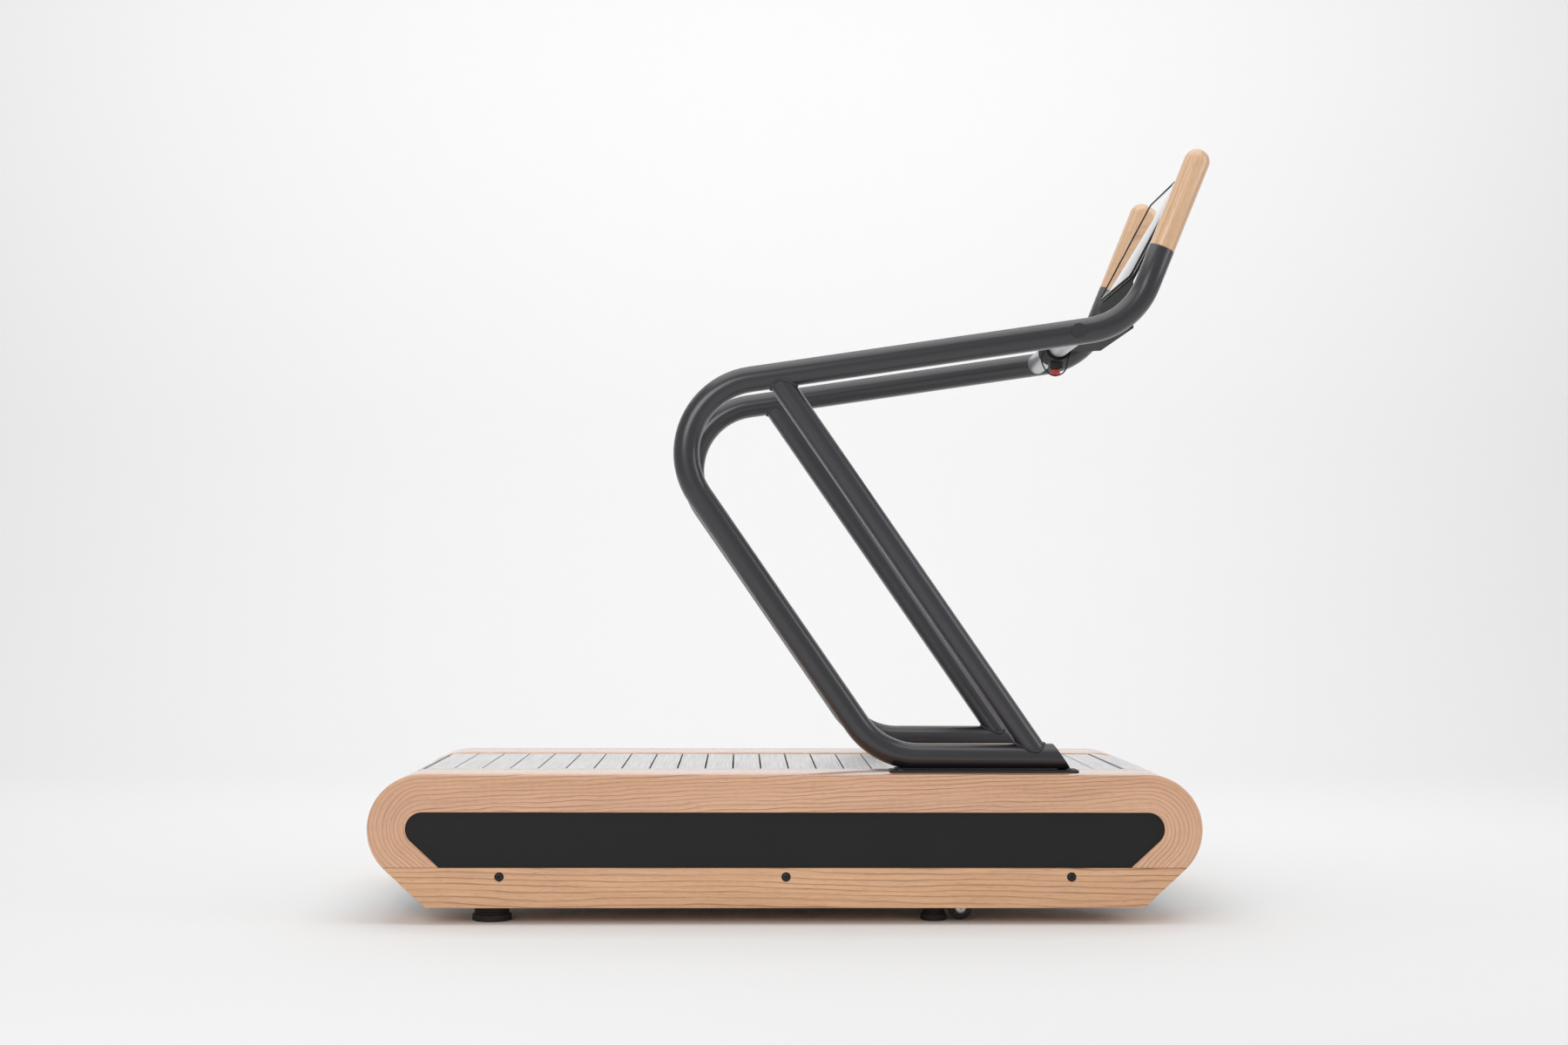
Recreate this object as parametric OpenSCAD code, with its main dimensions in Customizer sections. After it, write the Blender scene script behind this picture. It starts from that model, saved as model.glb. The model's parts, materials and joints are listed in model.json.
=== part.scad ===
// Manual slat treadmill with wooden sides and a tubular hand frame.
// X runs along the deck with the front at +X, Y runs across it, Z is up from the floor.
// Left (+Y) and right (-Y) are the runner's, who faces the front. Lengths are millimetres.

/* [Wooden sides] */
// Overall width across both sides
overall_w = 830; // [760:1:1000]
// Width of one side, whose top is the platform to stand on
side_w = 170; // [140:1:205]
// Height of the platforms above the floor
platform_z = 310; // [285:1:372]
// Height of the sides' underside above the floor
side_floor_gap = 35; // [28:1:45]
// Thickness of the bent wooden arch
arch_t = 78.6; // [60:0.1:94]
// Height of the bottom rail
rail_h = 82.5; // [60:0.5:90]
// Slope of the sides' lower ends
end_slope = 42.5; // [35:0.5:55]
// Thickness of the inset panel
panel_t = 12; // [6:0.5:20]
// How far the inset panel lies behind the outer face
panel_recess = 5; // [2:0.5:12]
// Diameter of the side screws' heads
side_screw_d = 18; // [12:0.5:22]
// Distance of the outer side screws from the middle of the deck
side_screw_x = 592; // [480:1:640]

/* [Slat belt] */
// Slats in each straight run
slats_per_run = 25; // [21:1:30]
// Slats round half of the loop's two ends together
slats_per_turn = 10; // [10:1:10]
// Distance between slats, centre to centre
slat_pitch = 60; // [52:0.5:62]
// Gap between neighbouring slats on the flat
slat_gap = 2; // [1:0.1:4]
// Thickness of a slat
slat_t = 12.5; // [9:0.5:15]
// Depth of the stiffening rib under a slat
rib_h = 18; // [8:0.5:22]
// Width of the stiffening rib
rib_w = 10; // [6:0.5:14]
// Height of the platforms above the slats
slat_drop = 2; // [1:0.5:6]
// Gap between a slat's end and the side
slat_side_gap = 2; // [1:0.5:5]
// How far the first slat of the top run lies past the rear axle
belt_phase = 9; // [9:1:9]
// Width of a drive band
band_w = 30; // [20:1:36]
// Thickness of a drive band
band_t = 6; // [4:0.5:8]

/* [Rollers and axles] */
// Diameter of the drum axles
axle_d = 25; // [18:1:30]
// Outer diameter of the axle bearings
bearing_d = 52; // [42:1:56]
// Diameter of the track rollers
track_roller_d = 40; // [30:1:44]
// Number of track roller stations
track_rollers = 8; // [8:1:8]
// Distance between track roller stations
track_roller_pitch = 160; // [120:1:170]
// Diameter of the return rollers
return_roller_d = 30; // [22:1:32]
// Distance between return roller stations
return_roller_pitch = 500; // [400:1:560]
// Thickness of the steel side plates
side_plate_t = 6; // [4:0.5:10]
// Outer size of the square cross tubes
cross_tube_w = 40; // [30:1:50]
// Distance between cross tubes
cross_tube_pitch = 450; // [380:1:520]

/* [Hand frame] */
// Outer diameter of the frame tubes
tube_d = 55; // [42:0.5:60]
// Wall of the frame tubes
tube_wall = 2.5; // [1.5:0.1:4]
// Radius of the bends, on the tube's centre line
bend_r = 158; // [120:1:190]
// Distance of the base bend's corner in front of the middle of the deck
leg_x = 197.4; // [150:0.1:260]
// Length of the sloping leg between its corners
leg_len = 923; // [780:1:1110]
// Slope of the leg and the brace
leg_slope = 55.3; // [50:0.1:62]
// Length of the upper tube between its corners
upper_len = 1074; // [900:1:1150]
// Rise of the upper tube
upper_rise = 8.5; // [4:0.1:12]
// Lean of the handles from upright
handle_tilt = 22; // [15:0.1:28]
// Length of tube between the front corner and the grip
neck_len = 175; // [150:1:210]
// Length of the straight part of a grip
grip_len = 201; // [160:1:245]
// Length of the base tube in front of the base corner
base_len = 386; // [350:1:440]
// Diameter of the braces
brace_d = 50; // [38:0.5:52]
// Distance between the leg's corner and the brace, along the base tube
brace_offset = 337; // [300:1:345]
// Thickness of the foot plates
foot_plate_t = 5; // [4:0.5:8]
// Width of the foot plates
foot_plate_w = 70; // [66:1:90]
// Diameter of the crossbar
crossbar_d = 47; // [34:0.5:50]
// Distance of the crossbar from the front corner, along the upper tube
crossbar_back = 117; // [115:1:180]

/* [Display] */
// Height of the display along its face
display_h = 262; // [200:1:320]
// Width of the display
display_w = 420; // [320:1:480]
// Thickness of the display
display_t = 8; // [6:0.5:14]
// Lean of the display from upright
display_tilt = 28; // [20:1:35]
// Thickness of the bent sheet bracket
bracket_t = 3; // [2:0.5:5]
// Diameter of the lock knob
knob_d = 22; // [16:0.5:28]

/* [Feet and wheels] */
// Diameter of the rear feet
rear_foot_d = 83; // [60:1:90]
// Diameter of the front feet
front_foot_d = 55; // [44:1:58]
// Distance of the rear feet behind the middle of the deck
rear_foot_x = 615; // [560:1:650]
// Distance of the front feet in front of the middle of the deck
front_foot_x = 312; // [260:1:314]
// Diameter of the transport wheels
wheel_d = 49; // [40:0.5:58]
// Width of the transport wheels
wheel_w = 24; // [16:1:30]
// Distance of the transport wheels in front of the middle of the deck
wheel_x = 368; // [366:1:460]

/* [Fits] */
// Gap between faces that slide past each other
run_gap = 0.3; // [0.2:0.05:0.6]
// Radial clearance of a running fit
pin_gap = 0.05; // [0.02:0.01:0.1]

/* [Hidden] */
$fn = 64;
eps = 1;
side_y = overall_w / 2 - side_w;
outer_y = overall_w / 2;
mid_y = outer_y - side_w / 2;

// The belt is 2 * slats_per_run + slats_per_turn slats long, so the pulleys' place follows.
pitch_r = tidy(slats_per_turn * slat_pitch / (2 * PI));
axle_x = slats_per_run * slat_pitch / 2;
band_in = pitch_r - band_t / 2;
band_out = pitch_r + band_t / 2;
slat_in = band_out + run_gap;
slat_out = slat_in + slat_t;
slat_w = slat_pitch - slat_gap;
slat_half = side_y - slat_side_gap;
axle_z = platform_z - slat_drop - slat_out;
pulley_r = band_in - run_gap;
band_y = side_y - 60;
rib_gap = 3;
rib_y = band_y - band_w / 2 - rib_gap;

end_r = platform_z - axle_z;
slat_corner_r = norm([slat_out, slat_w / 2]);
end_x = tidy(axle_x + slat_corner_r - end_r);
deck_half = end_x + end_r;
inner_r = end_r - arch_t;
rail_top = side_floor_gap + rail_h;

tube_r = tube_d / 2;
tube_z = platform_z + foot_plate_t + tube_r;
leg_v = [-cos(leg_slope), sin(leg_slope)];
upper_v = [cos(upper_rise), sin(upper_rise)];
handle_v = [sin(handle_tilt), cos(handle_tilt)];
base_end = [leg_x + base_len, tube_z];
base_corner = [leg_x, tube_z];
rear_corner = base_corner + leg_len * leg_v;
front_corner = rear_corner + upper_len * upper_v;
neck_end = front_corner + neck_len * handle_v;
grip_end = neck_end + grip_len * handle_v;
crossbar_at = front_corner - crossbar_back * upper_v;
brace_foot = base_corner + [brace_offset, 0];
brace_len = meet(brace_foot, leg_v, rear_corner, upper_v);
brace_top = brace_foot + brace_len * leg_v;

display_v = [sin(display_tilt), cos(display_tilt)];
display_n = [cos(display_tilt), -sin(display_tilt)];
display_foot = crossbar_at + [134, 139];
collar_r = crossbar_d / 2 + 7;

// The origin is under the middle of the whole object, which reaches from deck to grips.
x_shift = (deck_half - max(deck_half, grip_end[0] + tube_r)) / 2;

// A length rounded to a hundredth of a millimetre.
function tidy(length) = round(length * 100) / 100;
// Distance along a from p to where it meets the line through q along b.
function meet(p, a, q, b) = cross(q - p, b) / cross(a, b);
function track_x(i) = (i - (track_rollers - 1) / 2) * track_roller_pitch;
function return_x(i) = (i - 1) * return_roller_pitch;
function angle_of(v) = atan2(v[1], v[0]);

// Moves deck coordinates to the object's origin.
module placed() translate([x_shift, 0, 0]) children();

// Draws a piece of the left side, or its mirror image on the right.
module on_side(side) {
    if (side > 0) placed() children();
    else placed() mirror([0, 1, 0]) children();
}

// Draws a piece on both sides.
module both_sides() {
    on_side(1) children();
    on_side(-1) children();
}

// Turns a drawing of X and Z upright, with its depth about y.
module upright(y = 0) translate([0, y, 0]) rotate([90, 0, 0]) children();

// Extrudes an X and Z outline between two distances across the deck.
module slab(y0, y1) translate([0, y1, 0]) rotate([90, 0, 0]) linear_extrude(y1 - y0) children();

// A round bar across the deck at a point of X and Z.
module cross_bar(at, r, y0, y1) {
    translate([at[0], y0, at[1]]) rotate([-90, 0, 0]) cylinder(r = r, h = y1 - y0);
}

// ---- Wooden sides ----

// Loop outline with round ends about the pulleys and sloping lower corners.
module loop_outline(r, z_low) {
    tan_x = end_x + r * sin(end_slope);
    tan_z = axle_z - r * cos(end_slope);
    low_x = tan_x - (tan_z - z_low) / tan(end_slope);
    for (end = [-1, 1]) translate([end * end_x, axle_z]) circle(r = r);
    polygon([
        [-low_x, z_low], [low_x, z_low], [tan_x, tan_z], [end_x, axle_z],
        [end_x, axle_z + r], [-end_x, axle_z + r], [-end_x, axle_z], [-tan_x, tan_z]
    ]);
}

// Everything below a height, as an X and Z outline.
module below(z) translate([-deck_half - eps, -eps]) square([2 * (deck_half + eps), z + eps]);

plate_x0 = leg_x + 22;
plate_x1 = base_end[0] + 33;
bolt_d = 8;
bolt_len = 45;
bolt_head_r = 6.5;
bolt_head_h = 4;

// The four places of the foot plate's bolts, from its centre line.
module at_bolts() {
    for (x = [plate_x0 + 22, plate_x1 - 22], dy = [-1, 1])
        translate([x, mid_y + dy * (foot_plate_w / 2 - bolt_head_r - 1.5), 0]) children();
}

module side_arch(side) on_side(side) color("#cb9f84") difference() {
    slab(side_y, outer_y) difference() {
        loop_outline(end_r, side_floor_gap);
        loop_outline(inner_r, rail_top - eps);
        below(rail_top);
    }
    at_bolts() translate([0, 0, platform_z - bolt_len]) cylinder(d = bolt_d, h = bolt_len + eps);
}

side_screw_z = side_floor_gap + 64;
screw_head_h = 5;
screw_len = 60;
screw_d = 8;
socket_d = 6;

// The places of the side screws on the outer face.
module at_side_screws() {
    for (x = [-side_screw_x, 0, side_screw_x]) translate([x, outer_y, side_screw_z])
        rotate([90, 0, 0]) children();
}

wheel_axis = [wheel_x, wheel_d / 2 + 1];
pocket_x = wheel_d / 2 + 3;
pocket_y = wheel_w / 2 + 8;
pocket_top = wheel_axis[1] + wheel_d / 2 + 7;

module bottom_rail(side) on_side(side) color("#c69978") difference() {
    slab(side_y, outer_y) intersection() {
        loop_outline(end_r, side_floor_gap);
        below(rail_top);
    }
    at_side_screws() translate([0, 0, -eps]) cylinder(d = side_screw_d + 2, h = screw_head_h + eps);
    at_side_screws() translate([0, 0, -eps]) cylinder(d = screw_d, h = screw_len + eps);
    translate([wheel_x - pocket_x, mid_y - pocket_y, side_floor_gap - eps])
        cube([2 * pocket_x, 2 * pocket_y, pocket_top - side_floor_gap + eps]);
}

module side_screws(side) on_side(side) color("#1e1e1f") at_side_screws() difference() {
    union() {
        translate([0, 0, 1]) cylinder(d = side_screw_d, h = screw_head_h - 1);
        cylinder(d = screw_d, h = screw_len);
        cylinder(d = side_screw_d - 4, h = screw_head_h);
    }
    translate([0, 0, -eps]) cylinder(d = socket_d, h = 3 + eps, $fn = 6);
}

module inset_panel(side) on_side(side) color("#2b2b2b")
    slab(outer_y - panel_recess - panel_t, outer_y - panel_recess)
        loop_outline(inner_r, rail_top);

// ---- Inner frame ----

plate_y = side_y + 5;

module side_plate(side) on_side(side) color("#8f9194")
    slab(plate_y, plate_y + side_plate_t) difference() {
        loop_outline(inner_r, rail_top);
        for (end = [-1, 1]) translate([end * axle_x, axle_z]) circle(d = bearing_d);
    }

module cross_tube(x) placed() color("#8f9194") slab(-plate_y, plate_y)
    translate([x, axle_z]) difference() {
        square(cross_tube_w, center = true);
        square(cross_tube_w - 6, center = true);
    }

track_axis_z = axle_z + band_in - run_gap - track_roller_d / 2;
return_axis_z = axle_z - slat_out - run_gap - return_roller_d / 2;
stud_d = 12;
rail_y0 = band_y + band_w / 2 + 1;
rail_t = 8;
rail_reach = (track_rollers - 1) / 2 * track_roller_pitch + 60;
return_y1 = side_y - 5;
return_w = 12;

module track_rail(side) on_side(side) color("#8f9194")
    slab(rail_y0, rail_y0 + rail_t) difference() {
        translate([-rail_reach, axle_z + cross_tube_w / 2])
            square([2 * rail_reach, track_axis_z + stud_d + 2 - axle_z - cross_tube_w / 2]);
        for (i = [0 : track_rollers - 1]) translate([track_x(i), track_axis_z]) circle(d = stud_d);
    }

module roller_studs() both_sides() color("#b8babd") {
    for (i = [0 : track_rollers - 1])
        cross_bar([track_x(i), track_axis_z], stud_d / 2, band_y - band_w / 2, rail_y0 + rail_t);
    for (i = [0 : 2]) {
        cross_bar([return_x(i), return_axis_z], stud_d / 2, return_y1 - return_w - 1, side_y);
        cross_bar([return_x(i), return_axis_z], stud_d, side_y - 3, side_y);
    }
}

// A roller across the deck with a running bore.
module roller(at, d, y0, y1) slab(y0, y1) translate(at) difference() {
    circle(d = d);
    circle(d = stud_d + 2 * pin_gap);
}

module track_roller(i) both_sides() color("#d9d9d6")
    roller([track_x(i), track_axis_z], track_roller_d, band_y - band_w / 2 + 1, rail_y0 - 2);

module return_roller(i) both_sides() color("#d9d9d6")
    roller([return_x(i), return_axis_z], return_roller_d, return_y1 - return_w, return_y1);

// ---- Drums and belt ----

axle_half = plate_y + side_plate_t + 6;

module drum_axle(end) placed() color("#a9abae")
    cross_bar([end * axle_x, axle_z], axle_d / 2, -axle_half, axle_half);

module pulleys(end) both_sides() color("#a9abae") slab(band_y - band_w / 2, band_y + band_w / 2)
    translate([end * axle_x, axle_z]) difference() {
        circle(r = pulley_r);
        circle(d = axle_d);
        for (a = [0 : 60 : 300]) rotate(a) translate([pulley_r * 0.6, 0]) circle(r = pulley_r / 5);
    }

module axle_bearings() both_sides() color("#b8babd") for (end = [-1, 1])
    slab(plate_y - 2, plate_y + side_plate_t + 2) translate([end * axle_x, axle_z]) difference() {
        circle(d = bearing_d);
        circle(d = axle_d + 2 * pin_gap);
    }

module stadium(r) {
    for (end = [-1, 1]) translate([end * axle_x, axle_z]) circle(r = r);
    polygon([
        [-axle_x, axle_z - r], [axle_x, axle_z - r], [axle_x, axle_z + r], [-axle_x, axle_z + r]
    ]);
}

module drive_band(side) on_side(side) color("#232324")
    slab(band_y - band_w / 2, band_y + band_w / 2) difference() {
        stadium(band_out);
        stadium(band_in);
    }

slat_chamfer = 1.5;

// One slat with its rib, upright above its centre of turning.
module slat() {
    half = slat_w / 2;
    slab(-slat_half, slat_half) polygon([
        [-half, slat_in], [half, slat_in], [half, slat_out - slat_chamfer],
        [half - slat_chamfer, slat_out], [-half + slat_chamfer, slat_out],
        [-half, slat_out - slat_chamfer]
    ]);
    slab(-rib_y, rib_y) translate([-rib_w / 2, slat_in - rib_h]) square([rib_w, rib_h + eps]);
}

// A straight run, moving forward at turn 0 and back at turn 180.
module slat_run(turn) placed() color("#dfdfe1") for (i = [0 : slats_per_run - 1])
    translate([cos(turn) * (belt_phase - axle_x + i * slat_pitch), 0, axle_z])
        rotate([0, turn, 0]) slat();

// The slats round one pulley.
module slat_wrap(end, turn) placed() color("#dfdfe1") for (i = [0 : slats_per_turn / 2 - 1])
    translate([end * axle_x, 0, axle_z])
        rotate([0, turn + (belt_phase + i * slat_pitch) / pitch_r * 180 / PI, 0]) slat();

// ---- Hand frame ----

function unit(v) = v / norm(v);
function turn_at(p, i) = angle_of([
    unit(p[i] - p[i - 1]) * unit(p[i + 1] - p[i]), cross(unit(p[i] - p[i - 1]), unit(p[i + 1] - p[i]))
]);
// Length that a bend takes from the straights beside its corner.
function trim(p, i) = i > 0 && i < len(p) - 1 ? bend_r * tan(abs(turn_at(p, i)) / 2) : 0;

module ring(r_out, r_in) difference() {
    circle(r = r_out);
    circle(r = r_in);
}

// Extrudes a section along a straight from a to b, in the drawing's plane.
module along(a, b) translate([a[0], a[1], 0]) rotate([0, 0, angle_of(b - a)])
    rotate([0, 90, 0]) linear_extrude(norm(b - a)) children();

// Turns a section round the corner i of a run of points.
module bend(p, i) {
    turn = turn_at(p, i);
    back = unit(p[i - 1] - p[i]);
    onward = unit(p[i + 1] - p[i]);
    centre = p[i] + unit(back + onward) * bend_r / cos(turn / 2);
    from = turn > 0 ? p[i] + trim(p, i) * back : p[i] + trim(p, i) * onward;
    translate([centre[0], centre[1], 0]) rotate([0, 0, angle_of(from - centre)])
        rotate_extrude(angle = abs(turn)) translate([bend_r, 0]) children();
}

// Keeps what is behind the base tube's sloping end, less some thickness.
module behind_base_end(less = 0) translate([base_end[0], base_end[1], 0])
    rotate([0, 0, angle_of(leg_v)]) translate([-6 * base_len, less, -tube_d])
        cube([12 * base_len, 12 * base_len, 2 * tube_d]);

tube_cap_t = 4;
seam = 0.02;
frame_points = [base_end, base_corner, rear_corner, front_corner, neck_end];

// Where straight i starts and ends, with a hairline seam beside each bend.
function straight_a(i) = frame_points[i]
    + (trim(frame_points, i) + (i > 0 ? seam : 0)) * unit(frame_points[i + 1] - frame_points[i]);
function straight_b(i) = frame_points[i + 1] - (trim(frame_points, i + 1)
    + (i < 3 ? seam : 0)) * unit(frame_points[i + 1] - frame_points[i]);

module tube_wall_ring() ring(tube_r, tube_r - tube_wall);

// A short ring inside the wall that joins a straight to its bend.
module seam_ring(at, way) along(at - 3 * way, at + 3 * way)
    ring(tube_r - tube_wall / 4, tube_r - tube_wall * 3 / 4);

// The straight base tube, closed by a cap along its sloping end.
module base_tube() {
    start = base_end + [tube_d, 0];
    difference() {
        intersection() {
            along(start, straight_b(0)) circle(r = tube_r);
            behind_base_end();
        }
        intersection() {
            along(start, straight_b(0) - [eps, 0]) circle(r = tube_r - tube_wall);
            behind_base_end(tube_cap_t);
        }
    }
}

module frame_tube(side) on_side(side) color("#2f2e31") upright(mid_y) {
    base_tube();
    for (i = [1 : 3]) {
        along(straight_a(i), straight_b(i)) tube_wall_ring();
        bend(frame_points, i) tube_wall_ring();
        seam_ring(straight_b(i - 1), unit(frame_points[i] - frame_points[i - 1]));
        seam_ring(straight_a(i), unit(frame_points[i + 1] - frame_points[i]));
    }
}

// The space of the straight tubes that the braces and the crossbar are coped to.
module tube_space() upright(mid_y) {
    along(base_corner, base_end) circle(r = tube_r);
    along(rear_corner, front_corner) circle(r = tube_r);
}

module brace(side) on_side(side) color("#2f2e31") difference() {
    upright(mid_y) along(brace_foot, brace_top) ring(brace_d / 2, brace_d / 2 - tube_wall);
    tube_space();
}

grip_spigot = 60;

module foot_plate(side) on_side(side) color("#2b292a") difference() {
    translate([plate_x0, mid_y - foot_plate_w / 2, platform_z])
        cube([plate_x1 - plate_x0, foot_plate_w, foot_plate_t]);
    at_bolts() translate([0, 0, platform_z - eps]) cylinder(d = bolt_d, h = foot_plate_t + 2 * eps);
}

module plate_bolts() both_sides() color("#1e1e1f") at_bolts() {
    translate([0, 0, platform_z - bolt_len]) cylinder(d = bolt_d, h = bolt_len + foot_plate_t + eps);
    translate([0, 0, platform_z + foot_plate_t]) cylinder(r = bolt_head_r, h = bolt_head_h);
}

module grip(side) on_side(side) color("#d8b79a") upright(mid_y)
    translate([neck_end[0], neck_end[1], 0]) rotate([0, 0, -handle_tilt]) rotate([-90, 0, 0])
        rotate_extrude() intersection() {
            union() {
                translate([0, grip_len]) circle(r = tube_r);
                square([tube_r, grip_len]);
                translate([0, -grip_spigot]) square([tube_r - tube_wall - 0.1, grip_spigot + eps]);
            }
            translate([0, -grip_spigot]) square([tube_r, grip_spigot + grip_len + tube_r]);
        }

module crossbar() placed() color("#b7b8bb") difference() {
    slab(-mid_y, mid_y) translate(crossbar_at) ring(crossbar_d / 2, crossbar_d / 2 - tube_wall);
    tube_space();
    mirror([0, 1, 0]) tube_space();
}

cap_r = 16;
cap_t = 3;

module crossbar_caps() both_sides() color("#1e1e1f") difference() {
    cross_bar(crossbar_at, cap_r, mid_y + tube_r - 5, mid_y + tube_r + cap_t);
    tube_space();
}

// ---- Display ----

// The panel is bonded to its bracket, whose middle line runs behind it.
bond_t = 0.2;
bracket_back = display_foot + display_n * (display_t + bond_t + bracket_t / 2);
bracket_low = bracket_back - 10 * display_v;
bracket_points = [
    crossbar_at + [18, 20], [bracket_low[0], crossbar_at[1] + 24], bracket_low,
    bracket_back + display_h / 2 * display_v
];
bracket_half = display_w / 2 + 12;
collar_half = 60;
knob_stem_d = 8;
block_low = crossbar_at[1] - 45;
knob_h = 12;

// A point beside corner i of the bracket's bent middle line, mitred at its bends.
function bracket_side(i, side) =
    let (back = unit(bracket_points[max(i, 1)] - bracket_points[max(i, 1) - 1]),
         onward = unit(bracket_points[min(i, 2) + 1] - bracket_points[min(i, 2)]),
         across = unit([-back[1] - onward[1], back[0] + onward[0]]))
    bracket_points[i] + across * side / (across * [-back[1], back[0]]);

module display_panel() placed() color("#1b1b1d") {
    corner = 14;
    translate([display_foot[0], 0, display_foot[1]]) rotate([0, display_tilt, 0])
        rotate([90, 0, 90]) linear_extrude(display_t) {
            translate([-display_w / 2 + corner, 0]) square([display_w - 2 * corner, display_h]);
            translate([-display_w / 2, corner]) square([display_w, display_h - 2 * corner]);
            for (x = [-1, 1], y = [corner, display_h - corner])
                translate([x * (display_w / 2 - corner), y]) circle(r = corner);
        }
}

// The knob's stem, wide enough for its bore with gap, from low up to the crossbar.
module knob_stem(gap) translate([crossbar_at[0], 0, block_low - 1])
    cylinder(r = knob_stem_d / 2 + gap, h = crossbar_at[1] - block_low - crossbar_d / 2 + 0.5);

module display_bracket() placed() color("#29292b") difference() {
    union() {
        slab(-collar_half, collar_half) translate(crossbar_at)
            ring(collar_r, crossbar_d / 2 + 2 * pin_gap);
        slab(-bracket_half, bracket_half) polygon(concat(
            [for (i = [0 : 3]) bracket_side(i, bracket_t / 2)],
            [for (i = [3 : -1 : 0]) bracket_side(i, -bracket_t / 2)]
        ));
    }
    knob_stem(pin_gap);
}

module lock_block() placed() color("#1e1e1f") difference() {
    translate([crossbar_at[0] - 14, -15, block_low]) cube([28, 30, 45]);
    cross_bar(crossbar_at, collar_r, -collar_half, collar_half);
    knob_stem(pin_gap);
}

module lock_knob() placed() color("#c8504a") {
    translate([crossbar_at[0], 0, block_low - run_gap - knob_h]) cylinder(d = knob_d, h = knob_h);
    translate([crossbar_at[0], 0, block_low - run_gap - knob_h - 4]) cylinder(d = knob_stem_d, h = 5);
    translate([crossbar_at[0], 0, block_low - 1 - run_gap])
        cylinder(d = knob_stem_d, h = crossbar_at[1] - block_low - crossbar_d / 2 + 0.5);
}

// The lanyard's route round the knob, from the crossbar's axis.
lanyard_route = [
    [-29, -22, -4], [-34, -22, -14], [-34, -21, -28], [-29, -20, -42], [-20, -19, -54],
    [-8, -18, -61], [6, -18, -60], [17, -18, -53], [23, -19, -42], [25, -20, -30],
    [28, -21, -20], [30, -22, -12], [27, -22, -6]
];
lanyard_r = 1.6;
lanyard_sides = 8;

function spline(a, b, c, d, t) = 0.5 * (2 * b + (c - a) * t + (2 * a - 5 * b + 4 * c - d) * t * t
    + (3 * b - a - 3 * c + d) * t * t * t);
function smooth(p, steps) = [
    for (i = [0 : len(p) - 2], s = [0 : steps - 1])
        spline(p[max(i - 1, 0)], p[i], p[i + 1], p[min(i + 2, len(p) - 1)], s / steps),
    p[len(p) - 1]
];
// One ring of the tube: an outward direction of the route's own plane, and one across it.
function tube_ring(p, i, r, sides) =
    let (way = unit(p[min(i + 1, len(p) - 1)] - p[max(i - 1, 0)]),
         u = unit(cross([0, 1, 0], way)), v = cross(way, u))
    [for (k = [0 : sides - 1]) p[i] + r * (cos(360 * k / sides) * u + sin(360 * k / sides) * v)];

module swept_tube(p, r, sides) {
    n = len(p);
    polyhedron(
        points = [for (i = [0 : n - 1]) each tube_ring(p, i, r, sides)],
        faces = [
            for (i = [0 : n - 2], k = [0 : sides - 1])
                [i * sides + k, i * sides + (k + 1) % sides,
                 (i + 1) * sides + (k + 1) % sides, (i + 1) * sides + k],
            [for (k = [sides - 1 : -1 : 0]) k],
            [for (k = [0 : sides - 1]) (n - 1) * sides + k]
        ]
    );
}

module lock_lanyard() placed() color("#141414") translate([crossbar_at[0], 0, crossbar_at[1]])
    swept_tube(smooth(lanyard_route, 3), lanyard_r, lanyard_sides);

// ---- Feet and wheels ----

foot_lip_h = 14;
foot_step = 5;

module rubber_feet() both_sides() color("#1c1c1c")
    for (foot = [[-rear_foot_x, rear_foot_d], [front_foot_x, front_foot_d]])
        translate([foot[0], mid_y, 0]) {
            cylinder(d = foot[1], h = foot_lip_h);
            cylinder(d = foot[1] - 2 * foot_step, h = side_floor_gap);
        }

hub_d = 26;
pin_d = 8;
cheek_t = 4;
cheek_gap = 1.5;

module wheel_brackets() both_sides() color("#3a3a3c") difference() {
    translate([wheel_x - 14, mid_y - wheel_w / 2 - cheek_gap - cheek_t, wheel_axis[1] - 12])
        cube([28, wheel_w + 2 * (cheek_gap + cheek_t), pocket_top - wheel_axis[1] + 12]);
    translate([wheel_x - 15, mid_y - wheel_w / 2 - cheek_gap, 0])
        cube([30, wheel_w + 2 * cheek_gap, pocket_top - cheek_t]);
    cross_bar(wheel_axis, pin_d / 2, 0, overall_w);
}

module wheel_pins() both_sides() color("#b8babd")
    cross_bar(wheel_axis, pin_d / 2, mid_y - pocket_y + 1, mid_y + pocket_y - 1);

module wheel(side) on_side(side) {
    color("#1c1c1c") slab(mid_y - wheel_w / 2, mid_y + wheel_w / 2) translate(wheel_axis)
        ring(wheel_d / 2, hub_d / 2);
    color("#c4c5c7") slab(mid_y - wheel_w / 2, mid_y + wheel_w / 2) translate(wheel_axis)
        ring(hub_d / 2, pin_d / 2 + pin_gap);
}

side_arch(1);  // left_side_arch
side_arch(-1);  // right_side_arch
bottom_rail(1);  // left_bottom_rail
bottom_rail(-1);  // right_bottom_rail
inset_panel(1);  // left_inset_panel
inset_panel(-1);  // right_inset_panel
side_screws(1);  // left_side_screws
side_screws(-1);  // right_side_screws
side_plate(1);  // left_side_plate
side_plate(-1);  // right_side_plate
cross_tube(-cross_tube_pitch);  // rear_cross_tube
cross_tube(0);  // middle_cross_tube
cross_tube(cross_tube_pitch);  // front_cross_tube
track_rail(1);  // left_track_rail
track_rail(-1);  // right_track_rail
roller_studs();
drum_axle(1);  // front_axle
drum_axle(-1);  // rear_axle
pulleys(1);  // front_pulleys
pulleys(-1);  // rear_pulleys
axle_bearings();
drive_band(1);  // left_drive_band
drive_band(-1);  // right_drive_band
slat_run(0);  // belt_top_slats
slat_wrap(1, 0);  // belt_front_slats
slat_run(180);  // belt_bottom_slats
slat_wrap(-1, 180);  // belt_rear_slats
track_roller(0);  // track_roller_1
track_roller(1);  // track_roller_2
track_roller(2);  // track_roller_3
track_roller(3);  // track_roller_4
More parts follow.
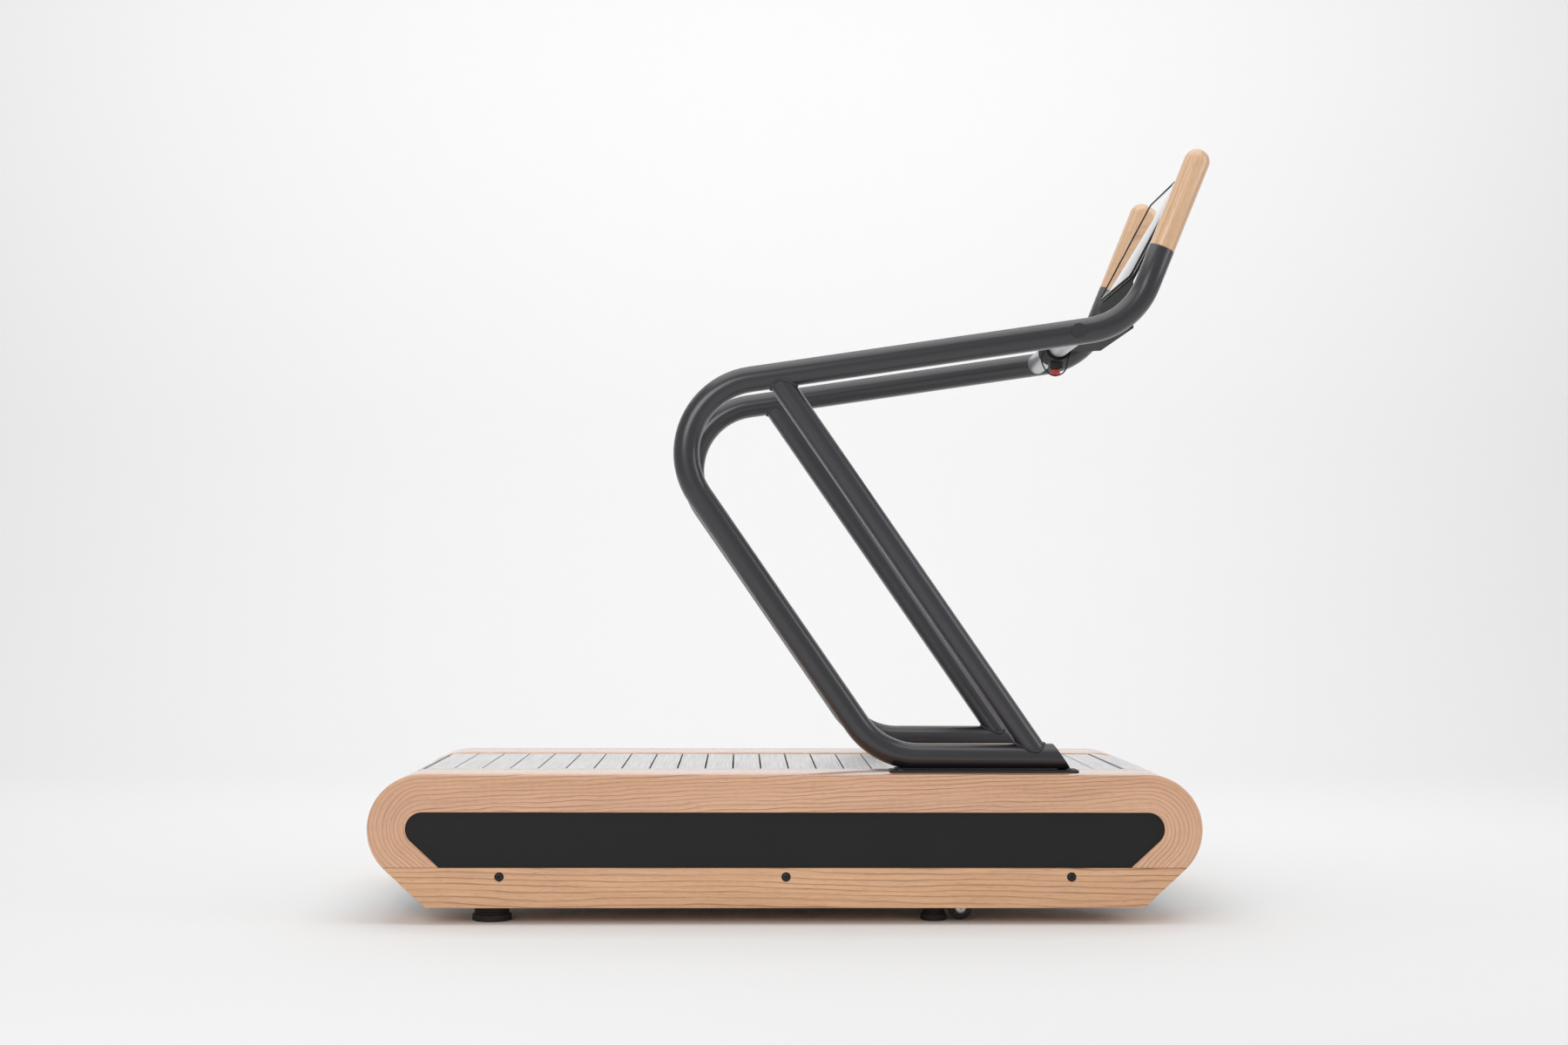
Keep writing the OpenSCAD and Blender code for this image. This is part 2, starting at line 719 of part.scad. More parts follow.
track_roller(4);  // track_roller_5
track_roller(5);  // track_roller_6
track_roller(6);  // track_roller_7
track_roller(7);  // track_roller_8
return_roller(0);  // return_roller_1
return_roller(1);  // return_roller_2
return_roller(2);  // return_roller_3
frame_tube(1);  // left_frame_tube
frame_tube(-1);  // right_frame_tube
brace(1);  // left_brace
brace(-1);  // right_brace
foot_plate(1);  // left_foot_plate
foot_plate(-1);  // right_foot_plate
plate_bolts();
grip(1);  // left_grip
grip(-1);  // right_grip
crossbar();
crossbar_caps();
display_panel();
display_bracket();
lock_block();
lock_knob();
lock_lanyard();
rubber_feet();
wheel_brackets();
wheel_pins();
wheel(1);  // left_wheel
wheel(-1);  // right_wheel
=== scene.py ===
"""Looks for a manual slat treadmill with wooden sides and a bent tube hand frame.

Lengths are metres unless a name ends in _mm. The front is +X, the runner's left +Y, up +Z.
"""

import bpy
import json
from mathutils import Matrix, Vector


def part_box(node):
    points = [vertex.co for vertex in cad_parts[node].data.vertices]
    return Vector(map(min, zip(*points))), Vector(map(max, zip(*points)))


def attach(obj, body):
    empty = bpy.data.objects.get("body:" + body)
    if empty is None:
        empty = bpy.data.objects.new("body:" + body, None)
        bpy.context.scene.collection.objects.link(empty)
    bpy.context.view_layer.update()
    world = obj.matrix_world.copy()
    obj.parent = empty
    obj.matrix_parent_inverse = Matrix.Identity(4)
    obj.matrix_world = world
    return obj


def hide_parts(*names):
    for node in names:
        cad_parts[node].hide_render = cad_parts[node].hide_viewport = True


bl_info = {
    "name": "Slat Treadmill",
    "version": (1, 0, 0),
    "blender": (4, 5, 0),
    "location": "View3D > Sidebar > Treadmill",
    "description": "Builds the visible pieces and finishes of a manual slat treadmill",
    "category": "Add Mesh",
}

import json
import math

import bmesh
import bpy
from bpy.props import FloatProperty, FloatVectorProperty, IntProperty, PointerProperty
from mathutils import Matrix, Vector

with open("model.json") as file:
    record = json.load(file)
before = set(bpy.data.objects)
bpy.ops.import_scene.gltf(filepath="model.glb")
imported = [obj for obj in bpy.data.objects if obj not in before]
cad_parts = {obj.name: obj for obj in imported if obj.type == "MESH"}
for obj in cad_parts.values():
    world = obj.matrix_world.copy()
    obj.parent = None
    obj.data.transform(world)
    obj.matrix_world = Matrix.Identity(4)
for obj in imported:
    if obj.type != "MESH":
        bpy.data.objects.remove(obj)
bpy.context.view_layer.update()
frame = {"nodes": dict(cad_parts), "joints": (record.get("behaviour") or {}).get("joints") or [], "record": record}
MM = 0.001
SIDES = (("left", 1), ("right", -1))


def joint_place(name):
    """Where a joint's axis stands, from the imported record."""
    joint = next(j for j in frame["joints"] if j["name"] == name)
    return Vector(joint["pos_m"])


# ---- Places that the frame gives ----

ARCH_LOW, ARCH_HIGH = (Vector(corner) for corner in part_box("left_side_arch"))
RAIL_LOW, RAIL_HIGH = (Vector(corner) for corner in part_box("left_bottom_rail"))
PLATE_LOW, PLATE_HIGH = (Vector(corner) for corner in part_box("left_foot_plate"))
TUBE_LOW, TUBE_HIGH = (Vector(corner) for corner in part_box("left_frame_tube"))
SLATS_LOW, SLATS_HIGH = (Vector(corner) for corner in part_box("belt_top_slats"))
FRONT_AXLE = joint_place("front_drum_turn")
REAR_AXLE = joint_place("rear_drum_turn")
CROSSBAR = joint_place("display_tilt")
DECK_X = (FRONT_AXLE.x + REAR_AXLE.x) / 2
SIDE_MID_Y = (ARCH_LOW.y + ARCH_HIGH.y) / 2
END_R = ARCH_HIGH.z - FRONT_AXLE.z
END_X = ARCH_HIGH.x - END_R
INNER_R = Vector(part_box("left_side_plate")[1]).z - FRONT_AXLE.z
TUBE_R = (TUBE_HIGH.y - TUBE_LOW.y) / 2
TUBE_Z = TUBE_LOW.z + TUBE_R
# Each wooden piece stops this far short of the joint between them, which leaves a fine line.
JOINT_GAP = 0.0004


# ---- Sizes and colours that a user would change ----

def size(name, description, default_mm, low=0.1, high=2000):
    """A length in metres whose default is given in millimetres."""
    return FloatProperty(name=name, description=description, default=default_mm * MM,
                         min=low * MM, max=high * MM, unit="LENGTH", subtype="DISTANCE")


def colour(name, description, text):
    """A colour whose default is an sRGB hex value."""
    return FloatVectorProperty(name=name, description=description, default=linear(text),
                               size=4, min=0, max=1, subtype="COLOR")


def linear(text):
    """An sRGB hex value as linear red, green, blue and alpha."""
    parts = [int(text[i:i + 2], 16) / 255 for i in (1, 3, 5)]
    return tuple(p / 12.92 if p <= 0.04045 else ((p + 0.055) / 1.055) ** 2.4 for p in parts) + (1.0,)


class WoodSettings(bpy.types.PropertyGroup):
    """Sizes and tones of the wooden pieces"""
    end_slope: FloatProperty(name="End slope", description="Slope of the sides' lower ends",
                             default=math.radians(42.5), subtype="ANGLE")
    edge_r: size("Edge radius", "Rounding of the wooden edges", 2.5)
    arch_tone: colour("Arch", "Middle tone of the arches", "#d7a886")
    rail_tone: colour("Rail", "Middle tone of the bottom rails", "#daaa80")
    grip_tone: colour("Grip", "Middle tone of the grips", "#dcb58f")


class BeltSettings(bpy.types.PropertyGroup):
    """Sizes of the slats"""
    pitch: size("Pitch", "Distance between slats", 60)
    width: size("Width", "Width of a slat", 56.6)
    thickness: size("Thickness", "Thickness of a slat", 12.5)
    rib_h: size("Rib", "Depth of the rib under a slat", 18)
    rib_w: size("Rib width", "Width of the rib under a slat", 10)
    phase: size("Phase", "How far the first top slat lies past the rear axle", 9)
    per_run: IntProperty(name="Slats", description="Slats in a straight run", default=25, min=3)
    per_end: IntProperty(name="End slats", description="Slats round one end", default=5, min=3)
    grooves: IntProperty(name="Grooves", description="Grooves along a slat", default=9, min=1)
    tone: colour("Slats", "Colour of the slats", "#e0dfe0")


class HandFrameSettings(bpy.types.PropertyGroup):
    """Sizes of the hand frame"""
    bend_r: size("Bend radius", "Bend radius on the tube's centre line", 158)
    base_front: size("Base", "Length of the base tube", 386)
    base_corner: size("Base corner", "Distance of the base corner in front of the middle", 197.4)
    leg_len: size("Leg", "Length of the sloping leg", 923)
    leg_slope: FloatProperty(name="Leg slope", description="Slope of the leg and the brace",
                             default=math.radians(55.3), subtype="ANGLE")
    upper_len: size("Upper tube", "Length of the upper tube", 1074)
    upper_rise: FloatProperty(name="Rise", description="Rise of the upper tube",
                              default=math.radians(8.5), subtype="ANGLE")
    handle_tilt: FloatProperty(name="Handle tilt", description="Lean of the handles",
                               default=math.radians(22), subtype="ANGLE")
    neck_len: size("Neck", "Tube between the front corner and the grip", 175)
    grip_len: size("Grip", "Length of the straight part of a grip", 201)
    brace_offset: size("Brace offset", "Distance between the leg and the brace", 337)
    brace_r: size("Brace radius", "Radius of the brace", 25)
    tone: colour("Frame", "Colour of the powder coat", "#1b1b22")


class DisplaySettings(bpy.types.PropertyGroup):
    """Sizes of the display"""
    height: size("Height", "Height along the face", 262)
    width: size("Width", "Width of the display", 420)
    thickness: size("Thickness", "Thickness of the display", 8)
    lean: FloatProperty(name="Lean", description="Lean from upright",
                        default=math.radians(28), subtype="ANGLE")


class FloorSettings(bpy.types.PropertyGroup):
    """Sizes of the feet and wheels"""
    rear_foot_x: size("Rear feet", "Distance of the rear feet behind the middle", 615)
    front_foot_x: size("Front feet", "Distance of the front feet in front of the middle", 312)
    rear_foot_r: size("Rear foot radius", "Radius of a rear foot", 41.5)
    front_foot_r: size("Front foot radius", "Radius of a front foot", 27.5)


# ---- Meshes ----

def new_piece(name, vertices, faces, finish, smooth=True):
    """Links a mesh object made from points and faces, with one material."""
    mesh = bpy.data.meshes.new(name)
    mesh.from_pydata([tuple(v) for v in vertices], [], faces)
    mesh.materials.append(finish)
    mesh.update()
    piece = bpy.data.objects.new(name, mesh)
    bpy.context.scene.collection.objects.link(piece)
    if smooth:
        soften(piece)
    return piece


def soften(piece, angle=35):
    """Smooth shading with creases where faces meet at more than an angle."""
    for polygon in piece.data.polygons:
        polygon.use_smooth = True
    piece.data.set_sharp_from_angle(angle=math.radians(angle))


def face_outwards(piece):
    """Merges doubles and makes every face point out."""
    build = bmesh.new()
    build.from_mesh(piece.data)
    bmesh.ops.remove_doubles(build, verts=build.verts, dist=1e-6)
    bmesh.ops.recalc_face_normals(build, faces=build.faces)
    build.to_mesh(piece.data)
    build.free()


def apply_modifiers(piece):
    """Turns what the modifiers make into the piece's own plain mesh."""
    bpy.context.view_layer.update()
    graph = bpy.context.evaluated_depsgraph_get()
    made = bpy.data.meshes.new_from_object(piece.evaluated_get(graph))
    piece.modifiers.clear()
    piece.data = made
    made.name = piece.name
    return piece


def bevel(piece, width, segments=3, angle=30):
    """Rounds the sharp edges of a piece and bakes the result into its mesh."""
    rounding = piece.modifiers.new("Edges", "BEVEL")
    rounding.width = width
    rounding.segments = segments
    rounding.limit_method = "ANGLE"
    rounding.angle_limit = math.radians(angle)
    rounding.harden_normals = False
    apply_modifiers(piece)
    soften(piece)
    return piece


def cut(piece, *cutters):
    """Cuts other closed pieces out of a piece, and removes them."""
    for cutter in cutters:
        knife = piece.modifiers.new("Cut", "BOOLEAN")
        knife.operation = "DIFFERENCE"
        knife.solver = "EXACT"
        knife.object = cutter
        apply_modifiers(piece)
        bpy.data.objects.remove(cutter)
    return piece


def settle(piece, body, slot, *nodes):
    """Rides a finished piece on its body and hides the CAD nodes that it replaces; the slot is not used."""
    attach(piece, body)
    if nodes:
        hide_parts(*nodes)
    return piece


def prism(name, outline, y0, y1, finish):
    """An X and Z outline extruded across the deck."""
    count = len(outline)
    vertices = [(x, y, z) for y in (y0, y1) for x, z in outline]
    faces = [(i, (i + 1) % count, count + (i + 1) % count, count + i) for i in range(count)]
    faces += [tuple(reversed(range(count))), tuple(range(count, 2 * count))]
    piece = new_piece(name, vertices, faces, finish, smooth=False)
    face_outwards(piece)
    return piece


def quarter(steps, first=0, last=1):
    """Even angles of a quarter turn: first=1 leaves out the start, last=0 the end."""
    return [math.pi / 2 * i / steps for i in range(first, steps + last)]


def turn_about(axis_point, axis):
    """A matrix that stands local +Z along an axis at a point."""
    turn = Vector((0, 0, 1)).rotation_difference(axis).to_matrix().to_4x4()
    return Matrix.Translation(axis_point) @ turn


def lathe(name, profile, place, finish, segments=64, angle=35):
    """A profile of (radius, height) points turned about local Z, closed where its radius is zero."""
    vertices, faces, rings = [], [], []
    for radius, height in profile:
        if radius < 1e-7:
            rings.append([len(vertices)])
            vertices.append(place @ Vector((0, 0, height)))
            continue
        rings.append(list(range(len(vertices), len(vertices) + segments)))
        for k in range(segments):
            turn = 2 * math.pi * k / segments
            vertices.append(place @ Vector((radius * math.cos(turn), radius * math.sin(turn), height)))
    closed = profile[0] == profile[-1]
    for lower, upper in zip(rings, rings[1:]):
        for k in range(segments):
            ring = [lower[k % len(lower)], lower[(k + 1) % len(lower)],
                    upper[(k + 1) % len(upper)], upper[k % len(upper)]]
            faces.append(tuple(dict.fromkeys(ring)))
    piece = new_piece(name, vertices, faces, finish, smooth=False)
    if closed or min(len(rings[0]), len(rings[-1])) == 1:
        face_outwards(piece)
    soften(piece, angle)
    return piece


def rounded(corner_list, radius, steps=5):
    """A closed outline whose corners are rounded, as a list of 2D points."""
    outline = []
    count = len(corner_list)
    for i, corner in enumerate(corner_list):
        here = Vector(corner)
        back = (Vector(corner_list[i - 1]) - here).normalized()
        onward = (Vector(corner_list[(i + 1) % count]) - here).normalized()
        half = back.angle(onward) / 2
        reach = radius / math.tan(half)
        centre = here + (back + onward).normalized() * radius / math.sin(half)
        first = here + back * reach - centre
        turn = (here + onward * reach - centre).angle_signed(first)
        for step in range(steps + 1):
            outline.append(centre + Matrix.Rotation(turn * step / steps, 2) @ first)
    return outline


# ---- Materials ----

def blank(name, **shader):
    """A material with a plain Principled shader, whose own sockets are set from the arguments."""
    finish = bpy.data.materials.new(name)
    finish.use_nodes = True
    tree = finish.node_tree
    bsdf = tree.nodes["Principled BSDF"]
    for socket, value in shader.items():
        bsdf.inputs[socket.replace("_", " ")].default_value = value
    return finish, tree, bsdf


def add(tree, kind, links=(), stops=(), **settings):
    """Adds a node: settings name its properties or inputs, links join outputs to its inputs."""
    node = tree.nodes.new(kind)
    for key, value in settings.items():
        if hasattr(node, key):
            setattr(node, key, value)
        else:
            node.inputs[key.replace("_", " ")].default_value = value
    for socket, source in dict(links).items():
        tree.links.new(source, node.inputs[socket])
    for i, (place, tint) in enumerate(stops):
        elements = node.color_ramp.elements
        element = elements[i] if i < len(elements) else elements.new(place)
        element.position, element.color = place, tint
    return node


def shade(tone, factor, warm=0.0):
    """A linear tone made lighter or darker, and redder or bluer."""
    return (tone[0] * factor * (1 + warm), tone[1] * factor, tone[2] * factor * (1 - warm), 1)


def grey(level):
    """An opaque linear grey."""
    return (level, level, level, 1)


def wood(name, tone, ring_mm, layout="Object", turn=(0, 0, 0), place=(0, 0, 0),
         contrast=1.0, sway=3.0, drawn=0.13):
    """Satin lacquered ash: pale straight wood with thin brown growth lines and open pores."""
    finish, tree, bsdf = blank(name, Coat_Weight=1.0, Coat_Roughness=0.12, IOR=1.5)
    coords = add(tree, "ShaderNodeTexCoord").outputs[layout]
    along = add(tree, "ShaderNodeMapping", {"Vector": coords}, vector_type="TEXTURE",
                Location=place, Rotation=turn).outputs["Vector"]

    def stretched(kind, scales, **settings):
        """A texture drawn out along the grain."""
        vector = add(tree, "ShaderNodeMapping", {"Vector": along}, Scale=scales).outputs["Vector"]
        return add(tree, kind, {"Vector": vector}, **settings).outputs["Fac"]

    # The lines drop off sharply on one side, as late wood does where a year ends.
    shape = {"wave_type": "RINGS", "rings_direction": "X"}
    if layout == "UV":
        shape = {"wave_type": "BANDS", "bands_direction": "Y"}
    # At scale 1 the wave texture repeats every 0.314 of its coordinates.
    wave_length = 0.314
    rings = stretched("ShaderNodeTexWave", (drawn, 1, 1), wave_profile="SAW", Distortion=sway,
                      Scale=wave_length / (ring_mm * MM), Detail=2.0, Detail_Scale=0.6,
                      Detail_Roughness=0.55, **shape)
    lines = add(tree, "ShaderNodeValToRGB", {"Fac": rings}, stops=(
        (0.0, shade(tone, 1 + 0.10 * contrast)), (0.58, shade(tone, 1.05)),
        (0.78, shade(tone, 1 - 0.16 * contrast, 0.03)), (0.90, shade(tone, 1 - 0.62 * contrast, 0.10)),
        (1.0, shade(tone, 1.03)))).outputs["Color"]
    # Some lines fade out along the board.
    fading = stretched("ShaderNodeTexNoise", (2.5, 38, 38), Scale=1.0, Detail=2.0)
    strength = add(tree, "ShaderNodeMapRange", {"Value": fading}, From_Min=0.35, From_Max=0.62,
                   To_Min=0.35, To_Max=1.0).outputs["Result"]
    mixed = add(tree, "ShaderNodeMix", data_type="RGBA")
    tree.links.new(strength, mixed.inputs[0])
    mixed.inputs[6].default_value = shade(tone, 1.02)
    tree.links.new(lines, mixed.inputs[7])
    fibre = stretched("ShaderNodeTexNoise", (7, 380, 380), Scale=1.0, Detail=3.0, Roughness=0.6)
    pores = stretched("ShaderNodeTexNoise", (50, 1300, 1300), Scale=1.0, Detail=1.0)
    clouds = stretched("ShaderNodeTexNoise", (1.5, 10, 10), Scale=1.0, Detail=2.0)
    layers = ((fibre, (0.30, (0.84, 0.80, 0.77, 1)), (0.65, grey(1.08)), 0.75),
              (clouds, (0.30, (0.93, 0.90, 0.88, 1)), (0.70, (1.05, 1.06, 1.07, 1)), 0.9),
              (pores, (0.30, (0.60, 0.53, 0.48, 1)), (0.42, grey(1.0)), 0.55))
    for texture, low, high, amount in layers:
        tint = add(tree, "ShaderNodeValToRGB", {"Fac": texture}, stops=(low, high)).outputs["Color"]
        darker = add(tree, "ShaderNodeMix", data_type="RGBA", blend_type="MULTIPLY")
        darker.inputs[0].default_value = amount
        tree.links.new(mixed.outputs[2], darker.inputs[6])
        tree.links.new(tint, darker.inputs[7])
        mixed = darker
    tree.links.new(mixed.outputs[2], bsdf.inputs["Base Color"])
    rough = add(tree, "ShaderNodeMapRange", {"Value": fibre}, To_Min=0.40, To_Max=0.56)
    tree.links.new(rough.outputs["Result"], bsdf.inputs["Roughness"])
    raised = add(tree, "ShaderNodeBump", {"Height": fibre}, Strength=0.25, Distance=0.06 * MM)
    pitted = add(tree, "ShaderNodeBump", {"Height": pores, "Normal": raised.outputs["Normal"]},
                 Strength=0.2, Distance=0.05 * MM)
    tree.links.new(pitted.outputs["Normal"], bsdf.inputs["Normal"])
    return finish


def roughen(tree, bsdf, dulling, rough, raising, strength, depth_mm):
    """Varies the gloss with one noise and raises the surface with another."""
    dull = add(tree, "ShaderNodeMapRange", {"Value": dulling.outputs["Fac"]},
               To_Min=rough[0], To_Max=rough[1])
    tree.links.new(dull.outputs["Result"], bsdf.inputs["Roughness"])
    relief = add(tree, "ShaderNodeBump", {"Height": raising.outputs["Fac"]}, Strength=strength,
                 Distance=depth_mm * MM)
    tree.links.new(relief.outputs["Normal"], bsdf.inputs["Normal"])


def mottled(name, tone, grain_mm, rough=(0.4, 0.6), depth_mm=0.05, variation=0.08, edge_highlight=0.0, **shader):
    """A coloured surface with a fine texture, soft blotches, and painted highlights on its convex edges if asked.
    """
    finish, tree, bsdf = blank(name, **shader)
    coords = add(tree, "ShaderNodeTexCoord").outputs["Object"]
    grit = add(tree, "ShaderNodeTexNoise", {"Vector": coords}, Scale=1 / (grain_mm * MM), Detail=2.0)
    blotch = add(tree, "ShaderNodeTexNoise", {"Vector": coords}, Scale=7.0, Detail=3.0)
    base = add(tree, "ShaderNodeValToRGB", {"Fac": blotch.outputs["Fac"]}, stops=(
        (0.3, shade(tone, 1 - variation)), (0.7, shade(tone, 1 + variation)))).outputs["Color"]
    # Painted highlight: convex edges, found by their pointiness, are made lighter than the rest.
    if edge_highlight:
        convexity = add(tree, "ShaderNodeNewGeometry").outputs["Pointiness"]
        edge = add(tree, "ShaderNodeValToRGB", {"Fac": convexity}, stops=((0.52, grey(0)), (0.60, grey(1))))
        blend = add(tree, "ShaderNodeMix", data_type="RGBA")
        tree.links.new(edge.outputs["Color"], blend.inputs[0])
        tree.links.new(base, blend.inputs[6])
        blend.inputs[7].default_value = shade(tone, 1 + edge_highlight)
        base = blend.outputs[2]
    tree.links.new(base, bsdf.inputs["Base Color"])
    roughen(tree, bsdf, grit, rough, grit, 0.6, depth_mm)
    return finish


def brushed(name, tone, along, rough=(0.28, 0.42), metallic=1.0, streak_mm=0.8, depth_mm=0.03,
            depth=0.14):
    """Brushed or drawn metal, with streaks that run along one axis."""
    finish, tree, bsdf = blank(name, Metallic=metallic)
    coords = add(tree, "ShaderNodeTexCoord").outputs["Object"]
    fine, slow = 1 / (streak_mm * MM), 4.0
    scales = tuple(slow if axis == along else fine for axis in "XYZ")
    drawn = add(tree, "ShaderNodeMapping", {"Vector": coords}, Scale=scales).outputs["Vector"]
    streaks = add(tree, "ShaderNodeTexNoise", {"Vector": drawn}, Scale=1.0, Detail=4.0, Roughness=0.65)
    blotch = add(tree, "ShaderNodeTexNoise", {"Vector": coords}, Scale=9.0, Detail=2.0)
    base = add(tree, "ShaderNodeValToRGB", {"Fac": streaks.outputs["Fac"]}, stops=(
        (0.32, shade(tone, 1 - depth)), (0.68, shade(tone, 1 + depth / 2))))
    tree.links.new(base.outputs["Color"], bsdf.inputs["Base Color"])
    roughen(tree, bsdf, blotch, rough, streaks, 0.5, depth_mm)
    return finish


FINISHES = {}


def finishes():
    """Every finish by its slot name, made once."""
    if FINISHES:
        return FINISHES
    scene = bpy.context.scene
    timber, hand = scene.treadmill_wood, scene.treadmill_frame
    grip_axis = (CROSSBAR.x + 0.2, 0, CROSSBAR.z + 0.25)
    FINISHES.update({
        # The arch is bent from layers, so its fine lines follow the bend.
        "arch_wood": wood("lacquered_ash_arch", timber.arch_tone, 8.5, "UV", turn=(0, 0, 0.045),
                          contrast=0.95, sway=7.5, drawn=0.24),
        # The rail is one sawn board: the tree's middle lay well below it, so its lines are broader.
        "rail_wood": wood("lacquered_ash_rail", timber.rail_tone, 10, turn=(0, 0.012, 0),
                          place=(0, 0, -0.45), sway=7.0, drawn=0.16),
        # Lines run up the turned grip and close in loops where the lathe cut through them.
        "grip_wood": wood("lacquered_ash_grip", timber.grip_tone, 9, place=grip_axis,
                          turn=(0, hand.handle_tilt - math.pi / 2, 0), contrast=0.55, sway=2.4),
        # Powder coat over steel: satin, near black, with a faint orange peel and painted highlights on its edges.
        "frame_black": mottled("powder_coat_black", hand.tone, 1.6, (0.32, 0.40), 0.04, 0.06,
                               edge_highlight=0.5, IOR=1.5, Coat_Weight=0.7, Coat_Roughness=0.2),
        # The foot plates' coat is coarser and dull, so that its grains catch the light; its edges carry painted
        # highlights.
        "plate_black": mottled("textured_powder_coat", linear("#1f1e1f"), 2.2, (0.50, 0.66), 0.25, 0.14,
                               edge_highlight=0.8, IOR=1.5),
        # Folded sheet under the same coat as the frame, with painted highlights on its edges.
        "bracket_black": mottled("powder_coat_bracket", linear("#0f0f10"), 1.2, (0.6, 0.75), 0.05,
                                 0.06, edge_highlight=0.5, IOR=1.5, Specular_IOR_Level=0.2),
        # Black laminate, so finely textured that only its dull sheen shows.
        "panel_black": mottled("black_laminate", linear("#222222"), 1.0, (0.55, 0.68), 0.03, 0.04,
                               IOR=1.4, Specular_IOR_Level=0.3),
        # Blackened steel, with painted highlights that brighten its edges.
        "black_screws": mottled("black_oxide_steel", linear("#252528"), 0.7, (0.34, 0.48), 0.02, 0.1,
                                edge_highlight=1.5, Metallic=0.5),
        # Brushed extrusion with a clear anodised skin: pale, with streaks along each slat.
        "slat_aluminium": brushed("anodised_aluminium_slat", scene.treadmill_belt.tone, "Y",
                                  (0.26, 0.38), 0.5, 2.2, 0.04, 0.32),
        # Drawn tube painted silver, a little duller than bare metal.
        "crossbar_silver": brushed("satin_silver_tube", linear("#bcbdc0"), "Y", (0.32, 0.42), 0.7,
                                   0.7, 0.02),
        # Zinc plated steel: cold grey with soft drawing lines.
        "inner_steel": brushed("zinc_plated_steel", linear("#a9abae"), "X", (0.3, 0.45), 1.0, 1.0, 0.02),
        # Turned aluminium, bright with faint tool marks.
        "pulley_aluminium": brushed("turned_aluminium", linear("#c4c6c9"), "Y", (0.3, 0.4), 1.0, 0.6, 0.02),
        # Nylon: milky white with a soft gloss.
        "roller_plastic": mottled("nylon_roller", linear("#d9d9d6"), 0.8, (0.4, 0.52), 0.02, 0.04,
                                  IOR=1.53, Subsurface_Weight=0.05),
        # Reinforced rubber: dull and very dark.
        "band_rubber": mottled("rubber_band", linear("#232324"), 0.9, (0.62, 0.8), 0.08, 0.12, IOR=1.52),
        # Moulded rubber, with painted highlights that make its edges greyer.
        "foot_rubber": mottled("moulded_rubber", linear("#1a1a1b"), 0.9, (0.6, 0.8), 0.08, 0.12,
                               edge_highlight=0.6, IOR=1.52),
        # Wheel tyre: the same rubber, polished a little by rolling, with painted highlights on its edges.
        "wheel_rubber": mottled("wheel_rubber", linear("#1d1d1e"), 0.8, (0.5, 0.68), 0.06, 0.12,
                                edge_highlight=0.6, IOR=1.52),
        # Cover glass over a dark screen: a mirror when seen from the side.
        "display_glass": mottled("display_cover_glass", linear("#101113"), 2.0, (0.03, 0.05), 0.0, 0.05,
                                 IOR=1.52, Coat_Weight=1.0, Coat_Roughness=0.02),
        # Moulded nylon, matt black, with painted highlights on its edges.
        "block_plastic": mottled("moulded_nylon_black", linear("#161617"), 0.6, (0.5, 0.65), 0.05,
                                 0.08, edge_highlight=0.5, IOR=1.53),
        # PVC cord: smooth, dark and slightly shiny.
        "lanyard_cord": mottled("pvc_cord", linear("#161616"), 0.5, (0.45, 0.6), 0.03, 0.1, IOR=1.54),
        # ABS knob: clean red plastic with a soft gloss and painted highlights on its edges.
        "knob_red": mottled("moulded_abs_red", linear("#c23f38"), 0.6, (0.34, 0.46), 0.03, 0.05,
                            edge_highlight=0.3, IOR=1.54),
    })
    return FINISHES


def dress_cad_nodes():
    """Gives every CAD node the finish of its slot."""
    for row in frame["record"]["subparts"]:
        materials = frame["nodes"][row["node"]].data.materials
        materials.clear()
        materials.append(finishes()[row["material_slot"]])


# ---- Geometry Nodes ----

def open_tree(name, *inputs):
    """A new tree that takes a piece, named inputs and a material, and the outputs of its first node."""
    tree = bpy.data.node_groups.new(name, "GeometryNodeTree")
    for label, kind in (("Geometry", "Geometry"), *inputs, ("Material", "Material")):
        tree.interface.new_socket(label, in_out="INPUT", socket_type="NodeSocket" + kind)
    tree.interface.new_socket("Geometry", in_out="OUTPUT", socket_type="NodeSocketGeometry")
    return tree, add(tree, "NodeGroupInput").outputs


def close_tree(tree, copies, material):
    """Ends a tree: the copies become real geometry with the material."""
    real = add(tree, "GeometryNodeRealizeInstances", {"Geometry": copies.outputs["Instances"]})
    coated = add(tree, "GeometryNodeSetMaterial", {
        "Geometry": real.outputs["Geometry"], "Material": material})
    add(tree, "NodeGroupOutput", {"Geometry": coated.outputs["Geometry"]})
    return tree


def repeat_tree():
    """Repeats a piece along a step and turns each copy about the cross axis."""
    if "RepeatAlongStep" in bpy.data.node_groups:
        return bpy.data.node_groups["RepeatAlongStep"]
    tree, given = open_tree("RepeatAlongStep", ("Count", "Int"), ("Start", "Vector"), ("Step", "Vector"),
                            ("First Turn", "Float"), ("Turn Step", "Float"))
    line = add(tree, "GeometryNodeMeshLine", {"Count": given["Count"], "Start Location": given["Start"],
                                              "Offset": given["Step"]})
    index = add(tree, "GeometryNodeInputIndex").outputs["Index"]
    turned = add(tree, "ShaderNodeMath", {0: index, 1: given["Turn Step"], 2: given["First Turn"]},
                 operation="MULTIPLY_ADD").outputs[0]
    angles = add(tree, "ShaderNodeCombineXYZ", {"Y": turned}).outputs["Vector"]
    copies = add(tree, "GeometryNodeInstanceOnPoints", {
        "Points": line.outputs["Mesh"], "Instance": given["Geometry"], "Rotation": angles})
    return close_tree(tree, copies, given["Material"])


